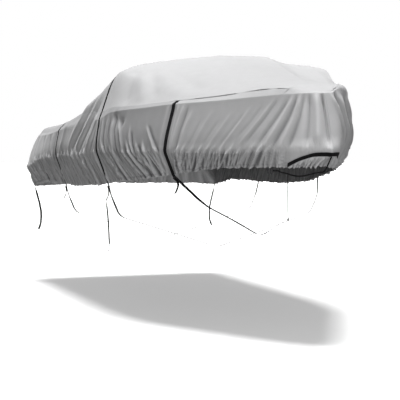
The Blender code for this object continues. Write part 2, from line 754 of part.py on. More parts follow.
def under_route(cover, column, hull):
    """From the starboard hem under the hull to the port hem, with the half width."""
    legs = []
    for side in (-1, 1):
        end, half, down = strap_end(cover, column, side)
        start = end + down * FACE_GAP
        leg = [start, start + down * 0.012]
        width = [half, half]
        square = np.array((STRAP_WIDTH / 2, 0, 0))
        for breadth, height in hull:
            before = leg[-1]
            knuckle = np.array((end[0], side * breadth, height))
            for n in range(1, 4):
                leg.append(before + (knuckle - before) * n / 3)
                width.append(half if len(width) < 5 else square)
        legs.append((leg, width))
    (leg, width), (far_leg, far_width) = legs
    middle = 0.5 * (leg[-1] + far_leg[-1])
    route = leg[:-1] + [middle] + far_leg[-2::-1]
    return np.array(route), np.array(width + far_width[-2::-1])


def build_under_strap(cover, name, column, hull, finish, plastic):
    """Webbing under the hull from hem to hem, with a buckle and a free end to starboard."""
    route, width = under_route(cover, column, hull)
    strip(name + "_strap_under", route, width, finish)
    down = route[2] - route[1]
    down /= np.linalg.norm(down)
    facing = np.cross(down, width[1])
    facing /= np.linalg.norm(facing)
    clear = STRAP_THICKNESS + 2 * FACE_GAP + BUCKLE_DEPTH / 2
    centre = route[1] + down * (0.006 + BUCKLE_LENGTH / 2) + facing * clear
    build_buckle(name + "_buckle", centre, down, width[1], plastic)
    top = centre + facing * (BUCKLE_DEPTH / 2 + FACE_GAP) + down * 0.004
    tail = []
    for n in range(7):
        t = n / 6
        drop = down * (1 - t) + np.array((0, 0, -1.0)) * t
        tail.append(top + drop * TAIL_LENGTH * t + facing * 0.020 * t * t)
    strip(name + "_strap_tail", tail, width[1] * 0.8, finish)
    return tail[-1]


def hanging(start, offsets, spacing):
    """A hanging route that starts just under a point and follows offsets from it."""
    points = spline_points(offsets, spacing)
    return np.array(start) + points + (0, 0, -FACE_GAP)


def build_bow_ties(cover, finish, plastic):
    """The buckle under the starboard hem, its rope round the stem and the line to the winch."""
    hem = cover.points[cover.rows[-1]]
    starboard = hem[:cover.stem]
    centre = np.array(BOW_BUCKLE)
    near = starboard[np.abs(starboard[:, 0] - centre[0]) < 0.09]
    centre[1] = np.interp(centre[0], near[:, 0], near[:, 1])
    centre[2] = near[:, 2].min() - FACE_GAP - BUCKLE_WIDTH / 2
    along = near[-1] - near[0]
    along[2] = 0
    along /= np.linalg.norm(along)
    build_buckle("bow_line_buckle", centre, along, (0, 0, 1), plastic)
    start = centre + along * (BUCKLE_LENGTH / 2 + FACE_GAP)
    trim = cover.rows[len(WALL_ROWS) + 3]
    lift = STRAP_THICKNESS + FACE_GAP + ROPE_DIAMETER / 2
    stem = cover.points[trim[cover.stem]] + cover.normal[trim[cover.stem]] * lift
    route = [start, start + along * 0.03] + [np.array(point) for point in BOW_ROPE] + [stem]
    points = spline_points(route, 0.02)
    rope("bow_rope", points, ROPE_DIAMETER, finish)
    low = points[np.argmin(np.abs(points[:, 0] - BOW_LINE_STATION))]
    line = hanging(low - (0, 0, ROPE_DIAMETER / 2 + 2 * FACE_GAP), BOW_LINE, 0.015)
    rope("bow_line", line, LINE_DIAMETER, finish)


def rope(name, points, diameter, finish):
    """A round rope or wire through points."""
    curve = bpy.data.curves.new(name, "CURVE")
    curve.dimensions = "3D"
    curve.bevel_depth = diameter / 2
    curve.bevel_resolution = 2
    curve.use_fill_caps = True
    spline = curve.splines.new("POLY")
    spline.points.add(len(points) - 1)
    for point, place in zip(spline.points, points - ORIGIN):
        point.co = (*place, 1)
    return add_object(name, curve, finish)


def main():
    clear_scene()
    group = bpy.data.collections.new("boat_cover")
    bpy.context.scene.collection.children.link(group)
    cloth = material("grey_cloth", (0.42, 0.42, 0.43), 0.85)
    webbing = material("black_webbing", (0.012, 0.012, 0.014), 0.7)
    plastic = material("black_plastic", (0.010, 0.010, 0.012), 0.4)
    cover = Cover()
    build_top_panel(cover, cloth)
    build_side_panels(cover, cloth)
    build_trim(cover, webbing)
    aft, mid, bow = cover.strap_columns
    build_strap_over(cover, "aft_strap_over", aft, webbing)
    build_strap_over(cover, "mid_strap_over", mid, webbing)
    build_side_strap(cover, "bow_strap_starboard", bow, -1, webbing)
    build_side_strap(cover, "bow_strap_port", bow, 1, webbing)
    build_under_strap(cover, "aft", aft, AFT_HULL, webbing, plastic)
    tail_end = build_under_strap(cover, "mid", mid, MID_HULL, webbing, plastic)
    build_under_strap(cover, "bow", bow, BOW_HULL, webbing, plastic)
    for side, name in ((-1, "starboard"), (1, "port")):
        corner = cover.points[cover.rows[-1][rim_place(cover, 0, side)]]
        route = hanging(corner, np.array(STERN_TIE) * (1, side, 1), 0.03)
        flat_strip("stern_tie_" + name, route, TIE_WIDTH, webbing)
    tie = hanging(tail_end, SIDE_TIE, 0.03)
    flat_strip("side_tie", tie, THIN_TIE_WIDTH, webbing)
    hook = hanging(tie[-1] + (0, -STRAP_THICKNESS / 2, 0), HOOK, 0.006)
    rope("side_tie_hook", hook, HOOK_DIAMETER, plastic)
    build_bow_ties(cover, webbing, plastic)


main()
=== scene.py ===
"""Looks of a fitted boat cover: woven grey cloth, its folds, webbing, buckles and ties.

The draped surface is worked out from the same stations as the solids.  Stations are
metres forward of a datum amidships and heights are metres above the ground; the frame's
origin lies under the cloth at the crown of the windshield hoop.
"""
import math

import bmesh
import bpy
import numpy as np
from mathutils import Matrix, Vector


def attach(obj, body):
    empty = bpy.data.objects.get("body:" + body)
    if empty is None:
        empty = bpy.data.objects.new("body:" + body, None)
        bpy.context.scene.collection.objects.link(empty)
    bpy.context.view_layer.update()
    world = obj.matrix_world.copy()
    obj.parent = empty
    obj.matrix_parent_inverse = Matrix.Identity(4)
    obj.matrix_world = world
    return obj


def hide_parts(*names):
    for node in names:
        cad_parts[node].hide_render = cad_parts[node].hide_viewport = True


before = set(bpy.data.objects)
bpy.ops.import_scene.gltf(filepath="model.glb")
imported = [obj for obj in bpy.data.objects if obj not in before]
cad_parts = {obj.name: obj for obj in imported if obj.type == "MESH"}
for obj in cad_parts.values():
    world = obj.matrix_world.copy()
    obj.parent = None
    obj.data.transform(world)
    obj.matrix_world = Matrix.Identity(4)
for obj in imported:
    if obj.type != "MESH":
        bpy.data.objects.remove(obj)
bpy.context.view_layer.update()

# ---------------------------------------------------------------- driving sizes
HOOP_STATION = 1.36
CROWN_HEIGHT = 2.090
ORIGIN = np.array((HOOP_STATION, 0.0, CROWN_HEIGHT))
STARBOARD = -1
PORT = 1
SIDES = {STARBOARD: "starboard", PORT: "port"}
FIRST_STATION = -1.365
LAST_STATION = 3.31
# Forward of this station the deck's edge rounds in to the stem
ROUND_NOSE = 3.2
# How far short of the rail the seam stops at the bow and at the stern
BOW_SHORT = 0.02
STERN_SHORT = 0.03
STRAPS = {"aft": -0.10, "mid": 1.33, "bow": 2.28}

CLOTH_THICKNESS = 0.0012
SEAM_LAP = 0.008
SEAM_DEPTH = 0.0016
# How far the top panel's edge clears the side cloth, stands off where it gapes, and how wide it is
TOP_CLEAR = 0.0002
SEAM_GAPE = 0.0040
TOP_EDGE = 0.012
WALL_BULGE = 0.008
# The hem: its casing, its line of stitches, measured from the edge, and its puckers
CASING_MIDDLE = 0.009
CASING_RISE = 0.0016
HEM_STITCH = 0.021
STITCH_SINK = 0.0014
PUCKER_SPACING = 0.041
PUCKER_RISE = 0.0035
# How far below the rail the gathered cloth starts
GATHER_GIRTH = 0.30
# How rounded the shoulder is: place along the side (1 stem, 2 transom), radius
SHOULDER_ROUND = ((1.0, 0.005), (1.44, 0.005), (1.49, 0.034), (1.6, 0.03), (1.72, 0.006))
TUCK_ROUND = 0.022
STRAP_WIDTH = 0.028
STRAP_THICKNESS = 0.0018
STRAP_LIFT = 0.0012
# Under a strap the cloth is pressed in, up to this far beside it, and beside that it swells
STRAP_PRESS = 0.03
SIDE_SINK = 0.003
SIDE_SWELL = 0.006
TOP_SINK = 0.002
TOP_SWELL = 0.004
# How much wider than its webbing the bow strap presses
BOW_PRESS = 1.75
ROPE_DIAMETER = 0.010
LINE_DIAMETER = 0.006
TIE_WIDTH = 0.020
THIN_TIE_WIDTH = 0.012
TIE_TWIST = 1.1
HOOK_DIAMETER = 0.005
FACE_GAP = 0.0004

# The cloth above the rail.  Share is the part of the half breadth, 0 on the centreline.
# station, rail breadth, rail height, brow share, brow height, crown station, crown height
DECK = np.array((
    (-1.365, 0.915, 1.45, 0.91, 1.535, -1.395, 1.61),
    (-1.27, 0.965, 1.45, 0.92, 1.53, -1.3, 1.62),
    (-0.75, 1.0, 1.455, 0.93, 1.525, -0.75, 1.68),
    (-0.1, 1.02, 1.49, 0.935, 1.56, -0.1, 1.74),
    (0.3, 1.02, 1.52, 0.93, 1.605, 0.28, 1.79),
    (0.78, 1.015, 1.54, 0.955, 1.665, 0.72, 1.885),
    (1.0, 1.015, 1.545, 0.94, 1.735, 0.92, 1.955),
    (1.17, 1.015, 1.55, 0.91, 1.81, 1.08, 2.02),
    (1.33, 1.015, 1.553, 0.85, 1.905, 1.25, 2.075),
    (1.4, 1.005, 1.57, 0.835, 1.943, 1.36, 2.092),
    (1.52, 0.978, 1.606, 0.825, 1.915, 1.5, 2.075),
    (1.75, 0.925, 1.62, 0.8, 1.845, 1.75, 2.02),
    (1.95, 0.865, 1.627, 0.79, 1.79, 1.95, 1.97),
    (2.28, 0.695, 1.65, 0.82, 1.735, 2.28, 1.9),
    (2.6, 0.535, 1.66, 0.85, 1.715, 2.6, 1.845),
    (2.95, 0.36, 1.676, 0.84, 1.728, 2.96, 1.798),
    (3.17, 0.24, 1.687, 0.78, 1.736, 3.2, 1.765),
    (3.31, 0.14, 1.692, 0.6, 1.694, 3.4, 1.694),
))

# How the port half of the same cloth differs.
# station, brow share, brow height, swell beside the crown, rail lift
PORT_DECK = np.array((
    (-1.365, 0.91, 1.535, 0.0, 0.0),
    (0.78, 0.955, 1.665, 0.0, 0.0),
    (1.0, 0.945, 1.745, 0.01, 0.0),
    (1.17, 0.935, 1.84, 0.03, 0.0),
    (1.33, 0.945, 1.955, 0.05, 0.0),
    (1.4, 0.95, 1.992, 0.055, 0.0),
    (1.52, 0.95, 1.957, 0.045, 0.0),
    (1.75, 0.95, 1.872, 0.03, 0.0),
    (1.95, 0.93, 1.8, 0.02, 0.0),
    (2.28, 0.86, 1.74, 0.01, 0.0),
    (2.6, 0.85, 1.72, 0.0, 0.005),
    (2.95, 0.84, 1.75, 0.0, 0.025),
    (3.17, 0.78, 1.76, 0.0, 0.035),
    (3.31, 0.6, 1.715, 0.0, 0.035),
))

# The side cloth: it turns under at the tuck, over the rub rail, and ends at the hem.
# station, tuck station, tuck breadth, tuck height, hem station, hem breadth, hem height
SKIRT = np.array((
    (-1.365, -1.45, 1.03, 1.135, -1.38, 0.975, 0.945),
    (-1.27, -1.33, 1.065, 1.15, -1.28, 0.985, 0.962),
    (-0.75, -0.75, 1.05, 1.237, -0.75, 0.955, 1.015),
    (-0.1, -0.1, 1.05, 1.26, -0.1, 0.955, 1.003),
    (0.3, 0.3, 1.05, 1.275, 0.3, 0.955, 1.0),
    (0.78, 0.78, 1.05, 1.287, 0.78, 0.955, 1.012),
    (1.33, 1.33, 1.04, 1.3, 1.33, 0.94, 1.04),
    (1.52, 1.52, 1.015, 1.302, 1.52, 0.92, 1.06),
    (1.95, 1.95, 0.915, 1.307, 1.95, 0.83, 1.095),
    (2.28, 2.28, 0.77, 1.3, 2.27, 0.7, 1.131),
    (2.6, 2.61, 0.61, 1.292, 2.59, 0.55, 1.172),
    (2.95, 2.97, 0.43, 1.296, 2.94, 0.38, 1.19),
    (3.17, 3.21, 0.3, 1.305, 3.16, 0.255, 1.193),
    (3.31, 3.39, 0.17, 1.31, 3.29, 0.155, 1.196),
))

# How the port side is drawn in below its rail.
# station, tuck drawn in, hem drawn in, hem lifted, wall bulge
PORT_SKIRT = np.array((
    (-1.365, 0.0, 0.0, 0.0, 0.008),
    (0.78, 0.0, 0.0, 0.01, 0.01),
    (1.52, 0.01, 0.03, 0.05, 0.015),
    (1.95, 0.03, 0.06, 0.07, 0.03),
    (2.28, 0.055, 0.09, 0.06, 0.045),
    (2.6, 0.06, 0.09, 0.025, 0.05),
    (2.95, 0.06, 0.09, 0.008, 0.05),
    (3.17, 0.055, 0.08, 0.004, 0.045),
    (3.31, 0.04, 0.05, 0.0, 0.03),
))

# The two ends, by share of the half chord.
# share, tuck station, tuck breadth, tuck height, hem station, hem breadth, hem height
TRANSOM = np.array((
    (0.0, -1.51, 0.0, 1.12, -1.44, 0.0, 0.965),
    (0.5, -1.505, 0.5, 1.12, -1.435, 0.46, 0.965),
    (0.88, -1.49, 0.9, 1.125, -1.42, 0.85, 0.95),
    (1.0, -1.45, 1.03, 1.135, -1.38, 0.975, 0.945),
))
NOSE = np.array((
    (0.0, 3.53, 0.0, 1.3, 3.385, 0.0, 1.197),
    (0.4, 3.505, 0.065, 1.305, 3.362, 0.058, 1.197),
    (1.0, 3.39, 0.17, 1.31, 3.29, 0.155, 1.196),
))

# How far the seam of the top panel lies inboard of the rail: station, inset
SEAM = np.array((
    (-1.365, 0.022),
    (1.52, 0.022),
    (2.28, 0.035),
    (2.95, 0.052),
    (3.31, 0.03),
))

# The centre of the bow trim, as a share of the way from the tuck to the hem.
# way aft of the stem, share
TRIM = np.array((
    (0.0, 0.2),
    (0.11, 0.26),
    (0.19, 0.45),
    (0.26, 0.66),
    (0.33, 0.9),
))
TRIM_HALF = 0.12

# Webbing under the hull: half breadth and height at the knuckles of the hull.
HULL = {
    "aft": ((0.930, 0.905), (0.860, 0.740), (0.430, 0.610), (0.000, 0.485)),
    "mid": ((0.915, 0.945), (0.842, 0.774), (0.420, 0.640), (0.000, 0.505)),
    "bow": ((0.492, 0.938), (0.423, 0.885), (0.213, 0.778), (0.000, 0.657)),
}
# How the hull draws in towards the bow at each strap, in metres to the metre
HULL_RUN = {"aft": 0.26, "mid": 0.30, "bow": 0.48}
BUCKLE_LENGTH = 0.052
BUCKLE_WIDTH = 0.040
BUCKLE_DEPTH = 0.008
BUCKLE_CORNER = 0.007
BUCKLE_EDGE = 0.0011
SLOT_LENGTH = 0.031
SLOT_WIDTH = 0.007
SLOT_PLACE = 0.011
TAIL_LENGTH = 0.085

# Routes of the rope and the ties, as station, breadth, height.
BOW_BUCKLE = (3.115, -0.2801, 1.1689)
BOW_BUCKLE_ALONG = (0.811, 0.585, 0.0)
BOW_ROPE = (
    (3.215, -0.236, 1.158),
    (3.258, -0.214, 1.150),
    (3.285, -0.190, 1.140),
    (3.312, -0.160, 1.134),
    (3.338, -0.128, 1.137),
    (3.362, -0.092, 1.148),
    (3.388, -0.052, 1.158),
    (3.406, -0.020, 1.162),
    (3.4973, -0.0001, 1.2631),
)
BOW_LINE_TOP = (3.2622, -0.2110, 1.1430)
# Offsets from what each hangs from.
BOW_LINE = (
    (0.000, 0.000, 0.000),
    (0.000, -0.001, -0.100),
    (0.001, -0.001, -0.200),
    (0.003, 0.000, -0.300),
)
SIDE_TIE = (
    (0.000, 0.000, 0.000),
    (0.001, 0.010, -0.080),
    (0.002, 0.018, -0.180),
    (0.003, 0.023, -0.280),
    (0.004, 0.026, -0.350),
)
HOOK = (
    (0.000, 0.000, 0.000),
    (0.000, 0.000, -0.028),
    (0.000, -0.003, -0.046),
    (0.000, -0.013, -0.060),
    (0.000, -0.026, -0.057),
    (0.000, -0.030, -0.042),
)
STERN_TIE = (
    (0.000, 0.000, 0.000),
    (-0.001, -0.024, -0.090),
    (-0.002, -0.050, -0.190),
    (-0.003, -0.064, -0.290),
    (-0.003, -0.060, -0.370),
    (-0.003, -0.038, -0.440),
)

# Folds laid in the cloth, in millimetres.  Each route is pairs of way aft of the stem along
# the tuck and girth above the rail.  A negative height is a trough; softness 1 is a swell and
# 0 a crease.
# half width, height, softness, route
FOLDS = {STARBOARD: (
    (34, 20, 0.8, 70, 20, 80, -180, 100, -380),
    (22, -16, 0.4, 140, 10, 170, -200, 200, -390),
    (20, -34, 0.4, 25, 20, 15, -200, 15, -400),
    (14, -12, 0.3, 190, 10, 240, -160, 340, -400),
    (18, 11, 0.4, 220, 0, 290, -180, 400, -390),
    (13, -13, 0.3, 250, 0, 340, -170, 470, -380),
    (16, 9, 0.4, 290, 0, 400, -180, 530, -370),
    (12, -9, 0.3, 320, -10, 450, -170, 600, -360),
    (10, -6, 0.3, 440, -20, 550, -160, 710, -340),
    (9, 5, 0.3, 480, -30, 600, -170, 780, -360),
    (8, -4, 0.3, 580, -60, 680, -180, 800, -300),
    (11, 3.5, 0.4, 680, -50, 800, -200, 940, -370),
    (8, -4, 0.3, 740, -100, 840, -220, 950, -350),
    (14, 3, 0.5, 860, -80, 960, -220, 1080, -370),
    (8, -3.5, 0.3, 980, -140, 1050, -240, 1130, -350),
    (16, 2.5, 0.6, 1060, -60, 1150, -220, 1220, -370),
    (8, -3, 0.3, 1160, -120, 1220, -260, 1280, -360),
    (16, 9, 0.4, 1380, 0, 1400, -180, 1420, -380),
    (12, -9, 0.3, 1330, -20, 1360, -200, 1380, -380),
    (12, 6, 0.3, 1280, -60, 1320, -220, 1340, -380),
    (10, 9, 0.2, 1730, -140, 1680, -220, 1580, -380),
    (10, -11, 0.2, 1710, -140, 1650, -230, 1540, -380),
    (12, 12, 0.3, 1930, -130, 1900, -260, 1840, -360, 1700, -500),
    (10, -12, 0.3, 1900, -170, 1870, -280, 1800, -380),
    (22, -10, 0.5, 1800, -290, 1760, -360, 1680, -440),
    (10, 10, 0.2, 1830, -280, 1780, -380, 1660, -500),
    (45, -14, 0.7, 2240, -20, 2140, -80, 2020, -120),
    (18, 11, 0.4, 2170, -20, 2080, -160, 2000, -320, 1880, -500),
    (12, -10, 0.3, 2100, -140, 2040, -300, 1940, -460),
    (12, -10, 0.3, 2190, -20, 2170, -160, 2050, -470),
    (10, 10, 0.3, 2230, -10, 2210, -180, 2100, -490),
    (8, -7, 0.3, 2270, 0, 2260, -200, 2160, -470),
    (8, 8, 0.3, 2310, 0, 2300, -240, 2220, -440),
    (9, -8, 0.3, 2360, -20, 2340, -240, 2280, -420),
    (9, 8, 0.3, 2400, 0, 2380, -240, 2330, -400),
    (8, -7, 0.3, 2430, 0, 2420, -240, 2380, -400),
    (44, 17, 0.5, 2520, 520, 2800, 300, 3100, 60, 3460, -240),
    (26, -13, 0.4, 2520, 420, 2760, 200, 3020, -30, 3320, -270),
    (24, 12, 0.4, 2540, 300, 2720, 120, 2940, -70, 3200, -280),
    (20, -11, 0.4, 2540, 180, 2700, 20, 2900, -160, 3080, -300),
    (18, 10, 0.4, 2540, 60, 2660, -100, 2860, -300),
    (14, -9, 0.3, 2530, -40, 2600, -180, 2740, -340),
    (45, 12, 0.8, 3620, 100, 3680, -120, 3780, -300),
    (30, -10, 0.5, 3980, 30, 4000, -160, 3980, -320),
    (45, 12, 0.7, 4120, 20, 4080, -180, 4020, -340),
    (30, -10, 0.5, 4280, 20, 4240, -180, 4140, -360),
    (45, 14, 0.6, 4460, 30, 4400, -180, 4300, -380),
    (30, -12, 0.5, 4620, 30, 4550, -180, 4440, -380),
    (45, 14, 0.6, 4840, 30, 4760, -180, 4640, -400),
    (30, -12, 0.5, 5020, 20, 4940, -180, 4800, -400),
    (30, 12, 0.5, 5160, 10, 5100, -200, 4980, -400),
    (50, 10, 0.7, 5560, 0, 5600, -200, 5560, -400),
    (34, -10, 0.5, 5740, -20, 5720, -200, 5780, -400),
    (50, 8, 0.7, 5960, -40, 6000, -220, 5960, -400),
    (60, -12, 0.9, 2300, 460, 2200, 220, 2100, 30),
    (50, 10, 0.8, 2260, 460, 2040, 220, 1900, 60),
    (45, -10, 0.7, 2220, 480, 1960, 260, 1740, 80),
    (60, 8, 0.9, 2180, 500, 1840, 300, 1520, 100),
    (50, -7, 0.9, 2100, 540, 1700, 340, 1360, 160),
), PORT: (
    (36, 12, 0.9, 140, 0, 280, 0, 500, -20),
    (120, 28, 1.0, 160, -30, 340, -50, 560, -100),
    (16, 20, 0.2, 40, 0, 120, -160, 240, -370),
    (14, -24, 0.2, 80, 0, 170, -160, 290, -370),
    (12, 12, 0.2, 120, -10, 230, -180, 340, -360),
    (22, 14, 0.4, 140, -10, 320, -260, 420, -380),
    (20, -12, 0.3, 200, -20, 420, -260, 560, -380),
    (28, 10, 0.6, 320, -30, 540, -220, 740, -370),
    (26, -10, 0.5, 480, -40, 700, -240, 900, -370),
    (36, 9, 0.8, 700, -50, 920, -240, 1080, -370),
    (30, -9, 0.6, 960, -60, 1160, -260, 1300, -380),
    (34, 10, 0.6, 1620, -40, 1700, -220, 1780, -400),
    (30, -10, 0.5, 1860, -60, 1880, -240, 1860, -420),
    (30, 12, 0.5, 2040, -20, 1980, -240, 1940, -440),
    (24, -14, 0.4, 2140, -20, 2080, -220, 2000, -460),
    (24, 15, 0.4, 2260, -10, 2200, -220, 2100, -460),
    (20, -12, 0.4, 2340, -20, 2280, -240, 2180, -440),
    (50, 22, 0.6, 2540, 500, 2820, 260, 3120, 20, 3420, -260),
    (36, -20, 0.5, 2540, 360, 2780, 120, 3020, -100, 3240, -280),
    (34, 14, 0.5, 2540, 200, 2720, 0, 3000, -280),
    (28, -12, 0.5, 2530, 40, 2660, -140, 2840, -320),
    (45, 12, 0.8, 3500, 80, 3600, -120, 3760, -300),
    (34, -10, 0.6, 4040, 30, 4060, -160, 4040, -320),
    (45, 12, 0.7, 4240, 20, 4180, -180, 4100, -340),
    (34, -12, 0.5, 4440, 30, 4400, -180, 4280, -380),
    (45, 14, 0.6, 4700, 30, 4620, -180, 4500, -380),
    (34, -12, 0.5, 4940, 20, 4880, -180, 4760, -400),
    (50, 10, 0.7, 5600, 0, 5560, -200, 5620, -400),
    (34, -10, 0.5, 5800, -20, 5840, -200, 5800, -400),
    (50, 8, 0.7, 6040, -40, 6020, -220, 6080, -400),
    (60, -14, 0.9, 2240, 420, 2020, 220, 1820, 60),
    (60, 12, 0.8, 2160, 480, 1820, 280, 1500, 120),
)}
# Share of a fold over which each end dies out
FOLD_END = 0.25
# Columns over which the cloth is levelled to find how deep a fold is
FOLD_BLUR = 15
# How deep a fold is where its shade is full
FULL_SHADE = 0.009

# Small gathers along the tuck.
# way aft of the stem from and to, spacing, reach above the tuck, height, half width
GATHERS = (
    (0.08, 0.36, 0.034, 0.04, 0.011, 0.008),
    (0.0, 0.36, 0.015, 0.006, 0.01, 0.006),
    (0.36, 1.42, 0.068, 0.09, 0.019, 0.01),
    (0.34, 1.44, 0.02, 0.02, 0.011, 0.006),
    (1.54, 2.44, 0.11, 0.09, 0.018, 0.014),
    (1.54, 2.46, 0.026, 0.02, 0.01, 0.007),
    (2.52, 3.88, 0.13, 0.075, 0.016, 0.018),
    (2.5, 3.88, 0.04, 0.026, 0.013, 0.011),
    (3.96, 5.24, 0.12, 0.075, 0.016, 0.018),
    (3.94, 5.24, 0.04, 0.026, 0.013, 0.011),
    (5.3, 6.45, 0.13, 0.04, 0.009, 0.02),
    (5.3, 6.45, 0.055, 0.015, 0.006, 0.013),
)
# How much darker the wall's colour is made (below 0 paler): way aft of the stem, share
WALL_TONE = (
    (0.0, -0.32), (0.18, -0.24), (0.27, 0.14), (0.4, 0.2), (1.46, 0.16), (1.56, 0.6),
    (2.3, 0.6), (2.46, 0.1), (2.62, -0.35), (3.0, -0.35), (3.35, 0.1), (3.6, 0.45),
    (4.3, 0.4), (4.7, 0.1), (6.5, 0.0),
)
# How much of the wall's tone the port side takes beside the starboard side
PORT_WALL_TONE = 0.4
# How much darker the top is painted, as painted shade on the aft deck (below 0 paler, around the
# hoop): station, share
TOP_PAINTED_SHADE = (
    (-1.4, 0.55), (0.3, 0.4), (0.8, 0.0), (1.2, 0.0), (1.36, -0.4), (1.6, -0.25), (2.0, 0.06),
)
# How far aft a gather runs for each metre down: way aft of the stem, lean
GATHER_LEAN = (
    (0.0, 0.1), (0.4, 0.5), (0.6, 0.9), (1.25, 0.6),
    (1.5, -0.35), (2.2, -0.55), (5.3, -0.45), (6.5, 0.0),
)

# Columns round the nose, along the side and across the transom, and rows of the wall and under it
SIDE_COLUMNS = (54, 690, 100)
WALL_ROWS = 26
UNDER_ROWS = 22
DECK_ROWS = 318
DECK_COLUMNS = 147
STRAP_COLUMNS = 7


# ---------------------------------------------------------------- curves and noise
def smooth(at, keys, rows):
    """Monotone cubic through the rows of a table, which never overshoots them."""
    rows = rows.reshape(len(keys), -1)
    step = np.diff(keys)
    rise = np.diff(rows, axis=0) / step[:, None]
    near = (2 * step[1:] + step[:-1])[:, None]
    far = (step[1:] + 2 * step[:-1])[:, None]
    turning = rise[:-1] * rise[1:] <= 0
    before = np.where(turning, 1.0, rise[:-1])
    after = np.where(turning, 1.0, rise[1:])
    inner = np.where(turning, 0.0, (near + far) / (near / before + far / after))
    tangent = np.concatenate((rise[:1], inner, rise[-1:]))
    at = np.atleast_1d(np.asarray(at, float))
    cell = np.clip(np.searchsorted(keys, at, side="right") - 1, 0, len(keys) - 2)
    width = step[cell][:, None]
    t = (at - keys[cell])[:, None] / width
    start = (1 + 2 * t) * (1 - t) ** 2 * rows[cell] + t * (1 - t) ** 2 * width * tangent[cell]
    end = t * t * (3 - 2 * t) * rows[cell + 1] - t * t * (1 - t) * width * tangent[cell + 1]
    return start + end


def table(rows, at):
    """A table's columns after the first, at the given values of the first."""
    return smooth(at, rows[:, 0], rows[:, 1:])


def between(pairs, at):
    """Straight lines through pairs of a place and a value."""
    return np.interp(at, *zip(*pairs))


def ease(x):
    """From 0 to 1 with no kink at either end."""
    x = np.clip(x, 0, 1)
    return x * x * (3 - 2 * x)


def bell(x, width):
    """1 at 0, dying away on both sides."""
    return np.exp(-(x / width) ** 2)


def scramble(numbers, seed):
    """Fixed values from 0 to 1 that look unrelated, one for each number."""
    return np.modf(np.abs(np.sin(numbers * 12.9898 + seed * 78.233) * 43758.5453))[0]


def noise(x, seed):
    """Smooth noise from 0 to 1 along a line, one knot a unit."""
    x = np.asarray(x, float) + seed * 17.31
    cell = np.floor(x)
    low = scramble(cell, seed)
    return low + (scramble(cell + 1, seed) - low) * ease(x - cell)


def unit(vectors):
    return vectors / np.maximum(np.linalg.norm(vectors, axis=-1, keepdims=True), 1e-12)


def run_along(points):
    """How far each point lies along its row of points."""
    step = np.linalg.norm(np.diff(points, axis=-2), axis=-1)
    start = np.zeros((*step.shape[:-1], 1))
    return np.concatenate((start, np.cumsum(step, axis=-1)), axis=-1)


def spline_points(route, spacing):
    """Points at an even spacing on a smooth curve through the route's points."""
    route = np.array(route, float)
    run = run_along(route)
    count = max(4, round(run[-1] / spacing) + 1)
    return smooth(np.linspace(0, run[-1], count), run, route)


def normals(grid):
    """Unit normals of a grid.  Rows down and columns aft give normals to starboard."""
    return unit(np.cross(np.gradient(grid, axis=1), np.gradient(grid, axis=0)))


# ---------------------------------------------------------------- the draped surface
# Columns of the side cloth are numbered by a place: 0 to 1 round the nose, 1 to 2 along the
# side and 2 to 3 across the transom.
def place_of(station):
    """The place of a station along the side."""
    return 1 + (np.asarray(station) - LAST_STATION) / (FIRST_STATION - LAST_STATION)


def station_at(place):
    """The station of a place, or of the corner before the nose or the transom."""
    return LAST_STATION + (FIRST_STATION - LAST_STATION) * (np.clip(place, 1, 2) - 1)


def rim_places(nose, along, stern):
    """Evenly spaced places round the nose, along the side and across the transom."""
    return np.concatenate((np.linspace(0, 1, nose, endpoint=False),
                           np.linspace(1, 2, along, endpoint=False),
                           np.linspace(2, 3, stern)))


def chord(station, shares):
    """The cloth across the boat at one station, at shares from -1 starboard to 1 port."""
    rail_y, rail_z, brow, brow_z, crown_x, crown_z = table(DECK, station)[0]
    port_brow, port_brow_z, swell, lift = table(PORT_DECK, station)[0]
    shares = np.asarray(shares, float)
    out = np.abs(shares)
    mid_z = crown_z - 0.32 * (crown_z - brow_z)
    starboard = smooth(out, np.array((0, 0.5 * brow, brow, 1)),
                       np.array((crown_z, mid_z, brow_z, rail_z)))[:, 0]
    beside_z = crown_z - 0.08 * (crown_z - port_brow_z) + 0.2 * swell
    port_mid_z = crown_z - 0.45 * (crown_z - port_brow_z)
    port = smooth(out, np.array((0, 0.36, 0.55, port_brow, 1)),
                  np.array((crown_z, beside_z, port_mid_z, port_brow_z, rail_z + lift)))[:, 0]
    x = crown_x + (station - crown_x) * out ** (2 if station > ROUND_NOSE else 4)
    return np.stack((x, shares * rail_y, np.where(shares > 0, port, starboard)), axis=1)


def seam_share(station):
    """Where the seam crosses the chord, as a share of the half breadth."""
    return 1 - table(SEAM, station)[0, 0] / table(DECK, station)[0, 0]


def inner_station(station):
    """The deck's own stations stop a little short of the rail at both ends."""
    reach = (station - FIRST_STATION) / (LAST_STATION - FIRST_STATION)
    stern = STERN_SHORT * np.clip(1 - reach * 40, 0, 1)
    return station + stern - BOW_SHORT * np.clip(1 - (1 - reach) * 40, 0, 1)


def tuck_and_hem(rows, at, side):
    """Tuck points and hem points on one side, from a table of both."""
    row = table(rows, at)
    flip = (1, side, 1)
    return row[:, :3] * flip, row[:, 3:] * flip


